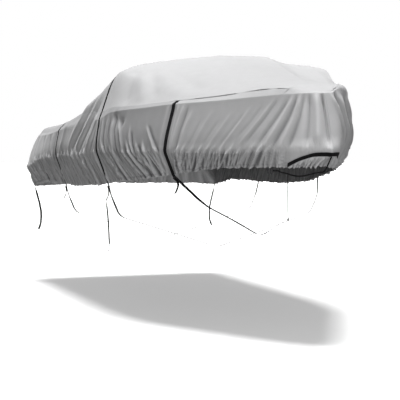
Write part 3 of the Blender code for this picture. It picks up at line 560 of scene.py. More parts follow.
class Rim:
    """Seam, rail, tuck and hem points along one side, from the stem aft to the transom."""

    def __init__(self, side, places):
        self.side = side
        self.places = np.asarray(places, float)
        shares = np.minimum(np.minimum(self.places, 3 - self.places), 1)
        stations = station_at(self.places)
        seam = []
        rail = []
        for station, share in zip(stations, side * shares):
            inner = inner_station(station)
            seam.append(chord(inner, [share * seam_share(inner)])[0])
            rail.append(chord(station, [share])[0])
        self.seam = np.array(seam)
        self.rail = np.array(rail)
        self.tuck, self.hem = tuck_and_hem(SKIRT, stations, side)
        nose = self.places < 1
        stern = self.places > 2
        self.tuck[nose], self.hem[nose] = tuck_and_hem(NOSE, shares[nose], side)
        self.tuck[stern], self.hem[stern] = tuck_and_hem(TRANSOM, shares[stern], side)
        self.bulge = np.full(len(self.places), WALL_BULGE)
        if side > 0:
            tuck_in, hem_in, hem_up, self.bulge = table(PORT_SKIRT, stations).T
            self.tuck[:, 1] -= tuck_in * shares ** 1.5
            self.hem[:, 1] -= hem_in * shares ** 1.5
            self.hem[:, 2] += hem_up
        self.bulge = self.bulge * shares
        self.outward = unit((self.tuck - self.hem) * (1, 1, 0))
        self.wall = np.linalg.norm(self.tuck - self.rail, axis=1)
        self.under = np.linalg.norm(self.hem - self.tuck, axis=1)
        self.above = np.linalg.norm(self.rail - self.seam, axis=1)
        self.crest = np.minimum(between(SHOULDER_ROUND, self.places), 0.45 * self.above)

    def point(self, run):
        """Points at a run below the rail, in metres along the cloth; negative is above it."""
        down = (self.tuck - self.rail) / self.wall[:, None]
        under = (self.hem - self.tuck) / self.under[:, None]
        over = (self.rail - self.seam) / self.above[:, None]
        past = run - self.wall
        place = self.rail + np.where((run < 0)[:, None], over, down) * run[:, None]
        place = np.where((past > 0)[:, None], self.tuck + under * past[:, None], place)
        place = self.round_corner(place, run, self.rail, over, down, self.crest)
        place = self.round_corner(place, past, self.tuck, down, under, TUCK_ROUND)
        swell = self.bulge * np.sin(math.pi * np.clip(run / self.wall, 0, 1) ** 1.6)
        return place + self.outward * swell[:, None]

    @staticmethod
    def round_corner(place, past, corner, arriving, leaving, radius):
        back = (radius - past) ** 2 / (4 * radius)
        ahead = (radius + past) ** 2 / (4 * radius)
        rounded = corner - arriving * back[:, None] + leaving * ahead[:, None]
        return np.where((np.abs(past) < radius)[:, None], rounded, place)


class Way:
    """How far aft of the stem each place of a side's rim lies, along the tuck."""

    def __init__(self, side):
        self.places = rim_places(23, 299, 40)
        self.aft = run_along(Rim(side, self.places).tuck)

    def at(self, places):
        return np.interp(places, self.places, self.aft)

    def place(self, aft):
        return np.interp(aft, self.aft, self.places)


WAYS = {side: Way(side) for side in SIDES}
TRIM_WAY = np.linspace(0, TRIM[-1, 0], 60)
TRIM_SHARE = table(TRIM, TRIM_WAY)[:, 0]


def fold_rise(side, aft, girth):
    """Height of the listed folds at places of the cloth."""
    rise = np.zeros_like(aft)
    for width, height, softness, *route in FOLDS[side]:
        route = np.reshape(route, (-1, 2)) / 1000
        run = run_along(route)
        best = np.full(aft.shape, 9.0)
        share = np.zeros_like(aft)
        for start, along, before in zip(route[:-1], np.diff(route, axis=0), run[:-1]):
            size = np.linalg.norm(along)
            off_way = aft - start[0]
            off_girth = girth - start[1]
            t = np.clip((off_way * along[0] + off_girth * along[1]) / size ** 2, 0, 1)
            away = np.hypot(off_way - along[0] * t, off_girth - along[1] * t)
            closer = away < best
            best = np.where(closer, away, best)
            share = np.where(closer, (before + size * t) / run[-1], share)
        end = ease(np.minimum(share, 1 - share) / FOLD_END + 0.12)
        rise += height / 1000 * end * np.exp(-(best / (width / 1000)) ** (1 + softness))
    return rise


def pleat_rise(side, aft, below, under):
    """Gathers drawn in by the hem: sharp ridges from just above the tuck to the hem.

    below is the run past the tuck in metres, negative above it."""
    rise = np.zeros_like(aft)
    for kind, (start, end, spacing, reach, height, width) in enumerate(GATHERS):
        for n in range(int((end - start) / spacing)):
            place, up, leaning, tall, wide = scramble(n * 5 + np.arange(5), kind * 9 + side)
            place = start + (n + 0.15 + 0.9 * place) * spacing
            up = reach * (0.35 + 1.1 * up)
            lean = between(GATHER_LEAN, place) + 0.7 * (leaning - 0.5)
            shown = ease((below + up) / (up + 0.012))
            half = width * (0.6 + 0.8 * wide) * (0.45 + 0.55 * shown)
            away = aft - place - lean * below
            steep = np.where(away > 0, np.exp(-np.maximum(away, 0) / half), bell(away, 0.6 * half))
            rise += height * (0.35 + 1.1 * tall) * steep * shown
    low = np.interp(below / under, (-0.2, 0.15, 1), (0.0, 1.0, 0.75))
    return rise * np.maximum(low, ease((below + 0.14) / 0.14)) - 0.002 * low


def hem_rise(aft, to_hem):
    """The drawcord casing at the hem, puckered along its stitching."""
    casing = CASING_RISE * bell(to_hem - CASING_MIDDLE, 0.006)
    groove = STITCH_SINK * bell(to_hem - HEM_STITCH, 0.004)
    pucker = np.sin(aft * 2 * math.pi / PUCKER_SPACING + 7 * noise(aft / 0.13, 21))
    size = 0.3 + 1.2 * noise(aft / 0.06, 23)
    return casing - groove + PUCKER_RISE * pucker * size * bell(to_hem, 0.030)


def hem_scallop(side, aft):
    """How far the drawn-in hem wanders up and down along its edge."""
    scallops = ((0.008, 0.027, 31), (0.009, 0.080, 35))
    return sum(reach * (noise(aft / length, seed + side) - 0.5)
               for reach, length, seed in scallops)


def strap_calm(side, aft, girth):
    """1 away from the straps and 0 under them, and how far the cloth rises beside them."""
    calm = np.ones_like(aft)
    beside = np.zeros_like(aft)
    for name, station in STRAPS.items():
        half = 0.5 * STRAP_WIDTH * (BOW_PRESS if name == "bow" else 1.0)
        away = np.abs(aft - WAYS[side].at(place_of(station))) - half
        calm *= ease((away - 0.004) / STRAP_PRESS)
        beside += SIDE_SWELL * bell(away - 0.024, 0.014)
    # Between the rail and the seam the side cloth isn't pressed
    below_rail = ease((girth + 0.005) / -0.03)
    calm = calm + (1 - calm) * (1 - below_rail)
    return calm, beside * below_rail


def trim_centre(aft):
    """The centre of the bow trim, as a share of the way from the tuck to the hem."""
    return np.interp(np.minimum(aft, TRIM[-1, 0]), TRIM_WAY, TRIM_SHARE)


def trim_calm(aft, share):
    """1 away from the bow trim and 0 under it, and 0 over the smooth cloth above it."""
    centre = trim_centre(aft)
    past = ease((aft - TRIM[-1, 0] - 0.01) / 0.06)
    beside = ease((np.abs(share - centre) - TRIM_HALF - 0.02) / 0.10)
    above = ease((centre - share) / 0.02) * ease((share + 0.3) / 0.2)
    return np.maximum(beside, past), np.minimum(1 - above + past, 1)


def side_surface(side, places, runs):
    """Folded points of the side cloth, their normals, their place in the cloth and the rise.

    runs(rim) gives one row of runs below the rail at a time."""
    rim = Rim(side, places)
    rows = np.array(runs(rim))
    flat = np.array([rim.point(row) for row in rows])
    girth = -rows
    aft = np.broadcast_to(WAYS[side].at(rim.places), girth.shape)
    facing = normals(flat) * -side
    below = rows - rim.wall
    under = np.broadcast_to(rim.under, girth.shape)
    calm, beside = strap_calm(side, aft, girth)
    at_trim, gathered = trim_calm(aft, below / under)
    calm = calm * at_trim
    rise = fold_rise(side, aft, girth)
    rise += pleat_rise(side, aft, below, under) * gathered
    at_seam = ease((girth - rim.above) / -0.02)
    rise = (rise + (beside + hem_rise(aft, under - below)) * at_seam) * calm
    lapped = ease((girth - rim.above + 0.0005) / 0.0025)
    rise = rise - SIDE_SINK * (1 - calm) * (1 - lapped) - SEAM_DEPTH * lapped
    # Both side panels lie flatter where they meet, at the stem and amid the transom
    ends = ease(aft / 0.03) * ease((WAYS[side].aft[-1] - aft) / 0.03)
    rise = rise * (0.25 + 0.75 * ends)
    points = flat + facing * rise[..., None]
    return points, normals(points) * -side, aft, girth, rise


def deck_surface(stations, across):
    """Folded points of the top cloth, their normals and the points before folding."""
    inner = inner_station(stations)
    flat = np.array([chord(at, across * seam_share(at)) for at in inner])
    facing = normals(flat)
    facing *= np.sign(facing[..., 2:3])
    rise = np.zeros(flat.shape[:2])
    run = run_along(flat)
    places = place_of(stations)
    for side in SIDES:
        above = Rim(side, places).above[:, None]
        girth = (run if side < 0 else run[:, -1:] - run) + above
        aft = np.broadcast_to(WAYS[side].at(places)[:, None], girth.shape)
        half = girth < 0.5 * (run[:, -1:] + 2 * above)
        rise += np.where(half, fold_rise(side, aft, girth), 0)
    for name in ("aft", "mid"):
        away = np.abs(stations - STRAPS[name])[:, None]
        calm = ease((away - 0.018) / STRAP_PRESS)
        rise = (rise + TOP_SWELL * bell(away - 0.036, 0.012)) * calm - TOP_SINK * (1 - calm)
    points = flat + facing * rise[..., None]
    facing = normals(points)
    return points, facing * np.sign(facing[..., 2:3]), flat


def fold_shade(rise):
    """1 in the bottom of a fold, where shade is painted, 0 on open cloth, below 0 on a ridge,
    where a highlight is painted.
    """
    wide = np.ones(FOLD_BLUR) / FOLD_BLUR
    padded = np.pad(rise, ((0, 0), (FOLD_BLUR // 2, FOLD_BLUR // 2)), mode="edge")
    level = np.array([np.convolve(row, wide, mode="valid") for row in padded])
    return np.clip((level - rise) / FULL_SHADE, -0.5, 1)


# ---------------------------------------------------------------- materials
class Nodes:
    """A material's node tree, one call a node."""

    def __init__(self, name):
        self.material = bpy.data.materials.new(name)
        self.material.use_nodes = True
        self.tree = self.material.node_tree

    def fill(self, node, inputs):
        for key, value in inputs.items():
            if isinstance(value, bpy.types.NodeSocket):
                self.tree.links.new(value, node.inputs[key])
            else:
                node.inputs[key].default_value = value

    def shade(self, inputs):
        """Values and links on the shader's own sockets."""
        self.fill(self.tree.nodes["Principled BSDF"], inputs)
        return self.material

    def add(self, kind, inputs, output=0, **settings):
        node = self.tree.nodes.new("ShaderNode" + kind)
        for key, value in settings.items():
            setattr(node, key, value)
        self.fill(node, inputs)
        return node.outputs[output]

    def math(self, operation, a, b):
        return self.add("Math", {0: a, 1: b}, operation=operation)

    def times(self, a, b):
        return self.math("MULTIPLY", a, b)

    def plus(self, a, b):
        return self.math("ADD", a, b)

    def uv(self):
        return self.add("UVMap", {}, "UV", uv_map="cloth")

    def place(self):
        return self.add("TexCoord", {}, "Object")

    def value(self, name):
        """A value kept at the cloth's points."""
        return self.add("Attribute", {}, "Fac", attribute_name=name)

    def ramp(self, share, *stops):
        """A ramp through stops of a place and a colour, or a place and a grey."""
        node = self.add("ValToRGB", {"Fac": share}, "Color").node
        elements = node.color_ramp.elements
        for element, (place, colour) in zip(elements, stops):
            element.position = place
            element.color = (*colour, 1) if isinstance(colour, tuple) else (colour,) * 3 + (1,)
        return node.outputs["Color"]

    def noise(self, vector, scale, detail=3.0, rough=0.5):
        inputs = {"Vector": vector, "Scale": scale, "Detail": detail, "Roughness": rough}
        return self.add("TexNoise", inputs, "Fac")

    def streaks(self, along, across, detail=3.0, rough=0.5):
        """Noise stretched over the cloth: so many to the metre each way."""
        spread = self.add("Mapping", {"Vector": self.uv(), "Scale": (along, across, 1.0)})
        return self.noise(spread, 1.0, detail, rough)

    def wave(self, direction, inputs):
        inputs = {"Vector": self.uv(), **inputs}
        return self.add("TexWave", inputs, "Fac", wave_type="BANDS", bands_direction=direction)

    def mix(self, share, a, colour):
        return self.add("Mix", {0: share, 6: a, 7: colour}, 2, data_type="RGBA")

    def bump(self, height, distance, strength, under=None):
        inputs = {"Height": height, "Distance": distance, "Strength": strength}
        if under is not None:
            inputs["Normal"] = under
        return self.add("Bump", inputs, "Normal")


def scaled(colour, factor, more=0.0):
    return tuple(min(1, c * factor + more) for c in colour)


def cloth_material(name, colour, dark):
    """Woven polyester: plain weave, slubs, painted shade in its folds and painted highlights on
    their ridges.
    """
    n = Nodes(name)
    wave = {"Scale": 260.0, "Distortion": 0.4, "Detail": 1.0, "Detail Scale": 2.0}
    weave = n.math("MAXIMUM", n.wave("X", wave), n.wave("Y", wave))
    slub = n.streaks(30.0, 900.0)
    mottle = n.noise(n.place(), 14.0, 5.0, 0.6)
    clouds = n.noise(n.place(), 1.7, 4.0, 0.55)
    tone = n.ramp(clouds, (0.30, scaled(colour, 0.94)), (0.70, colour))
    spots = n.ramp(mottle, (0.35, scaled(colour, 0.93)), (0.65, scaled(colour, 1.04)))
    tone = n.mix(0.35, tone, spots)
    tone = n.mix(n.times(n.math("SUBTRACT", 1.0, weave), 0.12), tone, (*dark, 1))
    fold = n.value("fold")
    # Darker where the fold value is above 0: painted shade in the folds and on the aft deck, and
    # the wall's darker stretches
    tone = n.mix(n.times(n.math("MAXIMUM", fold, 0.0), 0.42), tone, (*dark, 1))
    # Paler where the fold value is below 0: a painted highlight on ridges, painted light on the
    # gathered band at the bow, and the wall's paler stretches
    ridge_highlight = n.times(n.math("MAXIMUM", n.times(fold, -1.0), 0.0), 0.5)
    tone = n.mix(ridge_highlight, tone, (*scaled(colour, 1.35), 1))
    # Darker along the hem's stitch line, and painted shadow under the top panel's edge where it
    # gapes
    tone = n.mix(n.value("stitch_and_gap_shadow"), tone, (*dark, 1))
    puckers = n.times(n.streaks(52.0, 7.0, 4.0, 0.6), n.plus(0.08, n.value("gather")))
    large = n.bump(n.streaks(7.0, 4.0), 0.010, 0.35)
    fine = n.bump(puckers, 0.012, 0.8, large)
    thread = n.bump(n.plus(weave, n.times(slub, 0.6)), 0.0003, 0.5, fine)
    return n.shade({"Base Color": tone, "Roughness": n.plus(0.74, n.times(mottle, 0.16)),
                    "Sheen Weight": 0.12, "Sheen Roughness": 0.5,
                    "Specular IOR Level": 0.25, "Normal": thread})


def webbing_material(name, colour):
    """Woven black webbing with its ribs and worn, dusty edges."""
    n = Nodes(name)
    ribs = n.wave("X", {"Scale": 190.0, "Distortion": 0.3})
    rows = n.wave("DIAGONAL", {"Scale": 120.0, "Distortion": 0.8})
    dust = n.noise(n.place(), 30.0, 4.0, 0.6)
    pale = scaled(colour, 2.2, 0.002)
    tone = n.mix(n.times(ribs, 0.25), n.ramp(dust, (0.35, colour), (0.75, pale)), (*pale, 1))
    weave = n.plus(n.times(ribs, 0.6), n.times(rows, 0.5))
    return n.shade({"Base Color": tone, "Roughness": n.plus(0.6, n.times(dust, 0.25)),
                    "Specular IOR Level": 0.15, "Normal": n.bump(weave, 0.0006, 0.7)})


def plastic_material(name, colour):
    """Moulded black plastic with a fine spark texture and scuffs."""
    n = Nodes(name)
    grain = n.noise(n.place(), 1400.0, 2.0)
    scuff = n.noise(n.place(), 60.0, 5.0, 0.7)
    return n.shade({
        "Base Color": n.ramp(scuff, (0.45, colour), (0.85, scaled(colour, 3, 0.01))),
        "Roughness": n.ramp(scuff, (0.3, 0.34), (0.8, 0.6)),
        "Normal": n.bump(grain, 0.0002, 0.4)})


# ---------------------------------------------------------------- pieces
CLOTH = "grey_cloth"
WEBBING = "black_webbing"
PLASTIC = "black_plastic"
# Each slot's material and the end of its pieces' names
FINISHES = {
    # The cloth's dark grey darkens the weave and the stitch lines, and is the colour of the
    # painted shade
    CLOTH: (cloth_material(CLOTH, (0.47, 0.47, 0.475), (0.10, 0.10, 0.105)), "_woven"),
    WEBBING: (webbing_material(WEBBING, (0.006, 0.006, 0.0065)), "_webbing"),
    PLASTIC: (plastic_material(PLASTIC, (0.010, 0.010, 0.012)), "_moulded"),
}


def link(piece):
    """Puts an object in the scene."""
    bpy.context.scene.collection.objects.link(piece)
    return piece


def add_piece(name, data, slot, replaces=True):
    """One piece in the material of its slot; it replaces the node of the same name."""
    finish, ending = FINISHES[slot]
    piece = link(bpy.data.objects.new(name + ending, data))
    data.materials.append(finish)
    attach(piece, "root")
    if replaces:
        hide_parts(name)
    return piece


def add_mesh(name, points, faces, uv, smooth_faces):
    """A mesh with a uv layer in metres, from points in the yard's frame."""
    mesh = bpy.data.meshes.new(name)
    mesh.from_pydata((points.reshape(-1, 3) - ORIGIN).tolist(), [], faces)
    order = np.concatenate([np.array(face) for face in faces])
    layer = mesh.uv_layers.new(name="cloth")
    layer.data.foreach_set("uv", uv.reshape(-1, 2)[order].astype(np.float32).ravel())
    mesh.polygons.foreach_set("use_smooth", smooth_faces)
    return mesh


def grid_piece(name, points, uv, slot, flip=False, values=()):
    """A smooth sheet with named values at its points.

    The points lie on the outer face of cloth and on the inner face of webbing."""
    rows, columns = points.shape[:2]
    index = np.arange(rows * columns).reshape(rows, columns)
    faces = np.stack((index[:-1, :-1], index[1:, :-1], index[1:, 1:], index[:-1, 1:]), axis=-1)
    faces = faces.reshape(-1, 4)[:, ::-1 if flip else 1].tolist()
    mesh = add_mesh(name, points, faces, uv, [True] * len(faces))
    for key, amount in dict(values).items():
        made = mesh.attributes.new(key, "FLOAT", "POINT")
        made.data.foreach_set("value", np.ascontiguousarray(amount, np.float32).ravel())
    # Sharp borders keep the shading of the cut edge off the face
    ends = np.zeros(2 * len(mesh.edges), np.int32)
    mesh.edges.foreach_get("vertices", ends)
    row, column = np.divmod(ends.reshape(-1, 2), columns)
    border = (row == 0).all(1) | (row == rows - 1).all(1)
    border |= (column == 0).all(1) | (column == columns - 1).all(1)
    mesh.attributes.new("sharp_edge", "BOOLEAN", "EDGE").data.foreach_set("value", border)
    piece = add_piece(name, mesh, slot)
    shell = piece.modifiers.new("thickness", "SOLIDIFY")
    shell.thickness = CLOTH_THICKNESS if slot == CLOTH else STRAP_THICKNESS
    shell.offset = -1.0 if slot == CLOTH else 1.0
    shell.use_even_offset = False
    return piece


def side_runs(rim):
    """Runs of the rows below the rail, from under the top panel's edge to the hem."""
    rows = [-rim.above - lap for lap in (SEAM_LAP, 0.0022, -0.0006, -0.006)]
    rows += [share * rim.crest for share in (-1.4, -0.7, 0, 0.7, 1.4)]
    start = (1.5 * rim.crest + 0.006) / rim.wall
    for share in np.linspace(0, 1, WALL_ROWS, endpoint=False):
        rows.append(rim.wall * (start + (1 - start) * share))
    under = rim.under + hem_scallop(rim.side, WAYS[rim.side].at(rim.places))
    for share in np.linspace(0, 1, UNDER_ROWS):
        rows.append(rim.wall + under * share)
    return rows


def build_side(side):
    """A side panel, from under the top panel's edge to the hem."""
    points, _, aft, girth, rise = side_surface(side, rim_places(*SIDE_COLUMNS), side_runs)
    gather = ease((-girth - GATHER_GIRTH) / 0.08)
    at_bow = 1 - ease((aft - 0.26) / 0.14)
    wall_tone = between(WALL_TONE, aft) * (1 - gather) * (1 if side < 0 else PORT_WALL_TONE)
    # Painted shade in the folds and painted highlights on their ridges, both stronger in gathered
    # cloth; the wall's tone along its length; and painted light on the gathered band at the bow
    values = {
        "stitch_and_gap_shadow": bell(girth - girth.min(axis=0) - HEM_STITCH, 0.003) * 0.4,
        "gather": gather,
        "fold": fold_shade(rise) * (1 + 0.8 * gather) + wall_tone - 1.2 * gather * at_bow,
    }
    uv = np.stack((aft * side, girth), axis=-1)
    return grid_piece("side_panel_" + SIDES[side], points, uv, CLOTH, side < 0, values)


def across_deck():
    """Columns of the top cloth, closer together towards its seams."""
    even = np.linspace(-1, 1, DECK_COLUMNS)
    return 0.5 * even + 0.5 * np.sin(0.5 * math.pi * even)


def seam_gape(stations):
    """How far the edge of the top panel stands off the side cloth, from 0 to 1."""
    forward = np.interp(stations, (1.95, 2.5, 3.12, 3.20), (0, 1, 1, 0))
    return forward * ease(1.9 * noise(stations / 0.09, 41) - 0.45)


def build_top():
    """The top panel, whose edge laps over the side panels'."""
    stations = np.linspace(FIRST_STATION, LAST_STATION, DECK_ROWS)
    points, facing, flat = deck_surface(stations, across_deck())
    run = run_along(flat)
    edge = np.minimum(run, run[:, -1:] - run)
    gaping = seam_gape(stations)[:, None]
    lift = (TOP_CLEAR + SEAM_GAPE * gaping) * ease(1 - edge / TOP_EDGE)
    points = points + facing * lift[..., None]
    values = {
        # Painted shadow under the top panel's edge where it gapes
        "stitch_and_gap_shadow": ease(1.4 - edge / 0.0045) * 0.8 * gaping,
        "gather": np.zeros_like(edge),
        # Painted shade on the aft deck, paler around the hoop
        "fold": np.broadcast_to(between(TOP_PAINTED_SHADE, stations)[:, None], edge.shape),
    }
    along = np.broadcast_to(stations[:, None], run.shape)
    uv = np.stack((along, run - 0.5 * run[:, -1:]), axis=-1)
    return grid_piece("top_panel", points, uv, CLOTH, values=values)


def ribbon_piece(name, points, facing):
    """Webbing whose inner face has rows of points along it and columns across it."""
    width = np.linalg.norm(points[0, -1] - points[0, 0])
    run = run_along(points[:, points.shape[1] // 2])
    across = np.linspace(0, width, points.shape[1])
    uv = np.stack(np.meshgrid(run, across, indexing="ij"), axis=-1)
    flip = np.sum(np.cross(np.gradient(points, axis=0), np.gradient(points, axis=1)) * facing) < 0
    grid_piece(name, points, uv, WEBBING, flip)


def sewn_piece(name, cloth, facing):
    """Webbing laid on the cloth.  Returns its inner face."""
    points = cloth + facing * STRAP_LIFT
    ribbon_piece(name, points, facing)
    return points


def strap_stations(name):
    """The stations of a strap's columns, from its forward edge aft."""
    return STRAPS[name] + np.linspace(0.5, -0.5, STRAP_COLUMNS) * STRAP_WIDTH


def strap_on_side(side, name):
    """The pressed side cloth under a strap: rows from the seam down, columns aft."""
    return side_surface(side, place_of(strap_stations(name)), side_runs)[0]


def build_straps():
    """Webbing sewn on the cloth.  Returns each strap's two ends as inner face rows."""
    ends = {}
    for name in ("aft", "mid"):
        top = deck_surface(strap_stations(name), across_deck())[0].transpose(1, 0, 2)
        rows = np.concatenate((strap_on_side(-1, name)[::-1], top, strap_on_side(1, name)))
        inside = sewn_piece(name + "_strap_over", rows, -normals(rows))
        ends[name] = {-1: inside[1::-1], 1: inside[-2:]}
    ends["bow"] = {}
    for side, place in SIDES.items():
        rows = strap_on_side(side, "bow")[3:]
        inside = sewn_piece("bow_strap_" + place, rows, normals(rows) * -side)
        ends["bow"][side] = inside[-2:]
    return ends


def build_trim():
    """The binding across the bow, from one hem round the stem to the other."""
    aft = np.linspace(0, TRIM[-1, 0], 90)
    rows = [trim_centre(aft) + TRIM_HALF * t for t in np.linspace(-1, 1, 6)]
    halves = {}
    for side in SIDES:
        places = WAYS[side].place(aft)
        halves[side] = side_surface(
            side, places, lambda rim: [rim.wall + rim.under * row for row in rows])[0]
    points = np.concatenate((halves[1][:, ::-1], halves[-1][:, 1:]), axis=1).transpose(1, 0, 2)
    facing = normals(points)
    facing *= np.sign(np.sum(facing * (0.6, 0, -0.8), axis=-1, keepdims=True))
    sewn_piece("bow_trim", points, facing)


def rounded(corners, radius, steps=5):
    """A polyline through corners with each inner corner rounded by an arc-like curve."""
    path = [corners[0]]
    for before, here, after in zip(corners[:-2], corners[1:-1], corners[2:]):
        arrive = np.linalg.norm(here - before)
        leave = np.linalg.norm(after - here)
        reach = min(radius, 0.45 * arrive, 0.45 * leave)
        start = here + (before - here) / arrive * reach
        end = here + (after - here) / leave * reach
        for t in np.linspace(0, 1, steps + 1):
            path.append((1 - t) ** 2 * start + 2 * t * (1 - t) * here + t * t * end)
    path.append(corners[-1])
    return np.array(path)


def refined(path, spacing):
    """The same path with a point at an even spacing, and the way along it."""
    run = run_along(path)
    even = np.linspace(0, run[-1], max(3, math.ceil(run[-1] / spacing) + 1))
    return np.stack([np.interp(even, run, path[:, n]) for n in range(3)], axis=1), even


def strip_piece(name, path, half, twist=0.0):
    """Webbing along a path, which is the middle of its inner face.

    half is half the width at each point.  A straight strip's edges curl outward a little, and
    a twisted one turns by the twist in its first 90 mm."""
    half = np.broadcast_to(half, path.shape)
    facing = unit(np.cross(np.gradient(path, axis=0), half))
    shares = np.linspace(1, -1, 5)[None, :, None]
    if twist:
        run = run_along(path)
        turn = (twist * ease(run / min(0.09, run[-1])))[:, None]
        turned = half * np.cos(turn)
        turned += facing * np.sin(turn) * np.linalg.norm(half, axis=1, keepdims=True)
        facing = unit(facing * np.cos(turn) - unit(half) * np.sin(turn))
        points = path[:, None] + turned[:, None] * shares
    else:
        points = path[:, None] + half[:, None] * shares + facing[:, None] * 0.0004 * shares ** 2
    ribbon_piece(name, points, np.broadcast_to(facing[:, None], points.shape))


def end_frame(rows):
    """Middle, half width and downward direction of the inner face where a strap ends."""
    before, last = rows
    middle = 0.5 * (last[0] + last[-1])
    return middle, 0.5 * (last[0] - last[-1]), unit(middle - 0.5 * (before[0] + before[-1]))


def build_under_strap(name, ends):
    """Webbing under the hull from hem to hem, its buckle and its free end."""
    legs = {}
    for side in SIDES:
        middle, half, down = end_frame(ends[side])
        start = middle + down * FACE_GAP
        knuckles = [np.array((middle[0], side * y, z)) for y, z in HULL[name]]
        legs[side] = ([start, start + down * 0.012] + knuckles, half)
    corners, half = legs[-1]
    far, far_half = legs[1]
    middle = 0.5 * (corners[-1] + far[-1])
    path, run = refined(rounded(corners[:-1] + [middle] + far[-2::-1], 0.05), 0.012)
    flare = -HULL_RUN[name] * np.sign(path[:, 1]) * ease(np.abs(path[:, 1]) / 0.12)
    square = unit(np.stack((np.ones(len(path)), flare, np.zeros(len(path))), axis=1))
    square *= STRAP_WIDTH / 2
    first = np.linalg.norm(corners[2] - corners[1])
    near = ease((run - first) / 0.1)[:, None]
    away = ease((run[-1] - run - first) / 0.1)[:, None]
    widths = half * (1 - near) + square * near
    widths = far_half * (1 - away) + widths * away
    strip_piece(name + "_strap_under", path, widths)

    down = unit(corners[2] - corners[1])
    facing = unit(np.cross(down, half))
    clear = STRAP_THICKNESS + 2 * FACE_GAP + BUCKLE_DEPTH / 2
    centre = corners[1] + down * (0.006 + BUCKLE_LENGTH / 2) + facing * clear
    build_buckle(name + "_buckle", centre, down, half)
    return build_tail(name + "_strap_tail", centre, down, facing, half)


def build_tail(name, centre, down, facing, half):
    """The strap's free end: up through one slot, over the bar and out, then hanging."""
    deep = BUCKLE_DEPTH / 2
    weave = [centre + down * low + facing * out for low, out in (
        (-SLOT_PLACE, -deep * 0.9),
        (-SLOT_PLACE, deep + 0.0002),
        (-SLOT_PLACE + 0.004, deep + 0.0012),
        (0.004, deep + 0.0008),
    )]
    top = centre + facing * (deep + FACE_GAP) + down * 0.004
    for t in np.linspace(0, 1, 15)[1:]:
        drop = down * (1 - t) + np.array((0, 0, -1.0)) * t
        ripple = 0.0025 * math.sin(9 * t) * t
        weave.append(top + drop * TAIL_LENGTH * t + facing * (0.020 * t * t + ripple))
    path, _ = refined(rounded(weave, 0.003, 3), 0.003)
    strip_piece(name, path, half * 0.8)
    return weave[-1]


def build_buckle(name, centre, along, across):
    """A moulded ladder buckle: a rounded plate with two slots and a ribbed bar."""
    curve = bpy.data.curves.new(name + "_outline", "CURVE")
    curve.dimensions = "2D"
    curve.fill_mode = "BOTH"
    curve.extrude = BUCKLE_DEPTH / 2 - BUCKLE_EDGE
    curve.bevel_depth = BUCKLE_EDGE
    curve.bevel_resolution = 3
    curve.offset = -BUCKLE_EDGE
    outlines = [(0, BUCKLE_LENGTH, BUCKLE_WIDTH, BUCKLE_CORNER)]
    outlines += [(place, SLOT_WIDTH, SLOT_LENGTH, 0.0016) for place in (-SLOT_PLACE, SLOT_PLACE)]
    for middle, length, width, corner in outlines:
        ring = []
        for turn in range(4):
            x = middle + (length / 2 - corner) * (1 if turn in (0, 3) else -1)
            y = (width / 2 - corner) * (1 if turn < 2 else -1)
            for angle in np.linspace(turn, turn + 1, 7) * math.pi / 2:
                ring.append((x + corner * math.cos(angle), y + corner * math.sin(angle), 0, 1))
        if middle:  # a slot's ring runs the other way
            ring.reverse()
        spline = curve.splines.new("POLY")
        spline.points.add(len(ring) - 1)
        spline.points.foreach_set("co", np.ravel(ring))
        spline.use_cyclic_u = True
    outline = bpy.data.objects.new(name + "_outline", curve)
    mesh = bpy.data.meshes.new_from_object(outline)
    bpy.data.objects.remove(outline, do_unlink=True)
    shape = bmesh.new()
    shape.from_mesh(mesh)
    # Ribs along the bar, then grip lines across both ends
    ribs = [((0, n * 0.0055, -0.0003), (0.0085, 0.0012, 0.0012, 1)) for n in range(-2, 3)]
    for end in (-1, 1):
        for n in range(3):
            x = end * (BUCKLE_LENGTH / 2 - 0.0030 - n * 0.0026)
            ribs.append(((x, 0, -0.0002), (0.0010, BUCKLE_WIDTH - 0.016, 0.0012, 1)))
    for (x, y, z), size in ribs:
        place = Matrix.Translation((x, y, z + BUCKLE_DEPTH / 2))
        bmesh.ops.create_cube(shape, size=1.0, matrix=place @ Matrix.Diagonal(size))
    bmesh.ops.recalc_face_normals(shape, faces=shape.faces)
    shape.to_mesh(mesh)
    shape.free()
    mesh.name = name
    along = Vector(along).normalized()
    across = Vector(across)
    across = (across - along * across.dot(along)).normalized()
    place = Matrix((along, across, along.cross(across))).transposed().to_4x4()
    place.translation = Vector(np.array(centre) - ORIGIN)
    mesh.materials.clear()
    mesh.transform(place)
    mesh.polygons.foreach_set("use_smooth", [False] * len(mesh.polygons))
    add_piece(name, mesh, PLASTIC)


def hanging(start, offsets, spacing):
    """A hanging route that starts just under a point and follows offsets from it."""
    return np.array(start) + spline_points(offsets, spacing) + (0, 0, -FACE_GAP)


def build_hook(name, path):
    """A bent rod along a path."""
    curve = bpy.data.curves.new(name, "CURVE")
    curve.dimensions = "3D"
    curve.bevel_depth = HOOK_DIAMETER / 2
    curve.bevel_resolution = 6
    curve.use_fill_caps = True
    spline = curve.splines.new("POLY")
    spline.points.add(len(path) - 1)
    for point, place in zip(spline.points, path - ORIGIN):
        point.co = (*place, 1)
    spline.use_smooth = True
    add_piece(name, curve, PLASTIC)


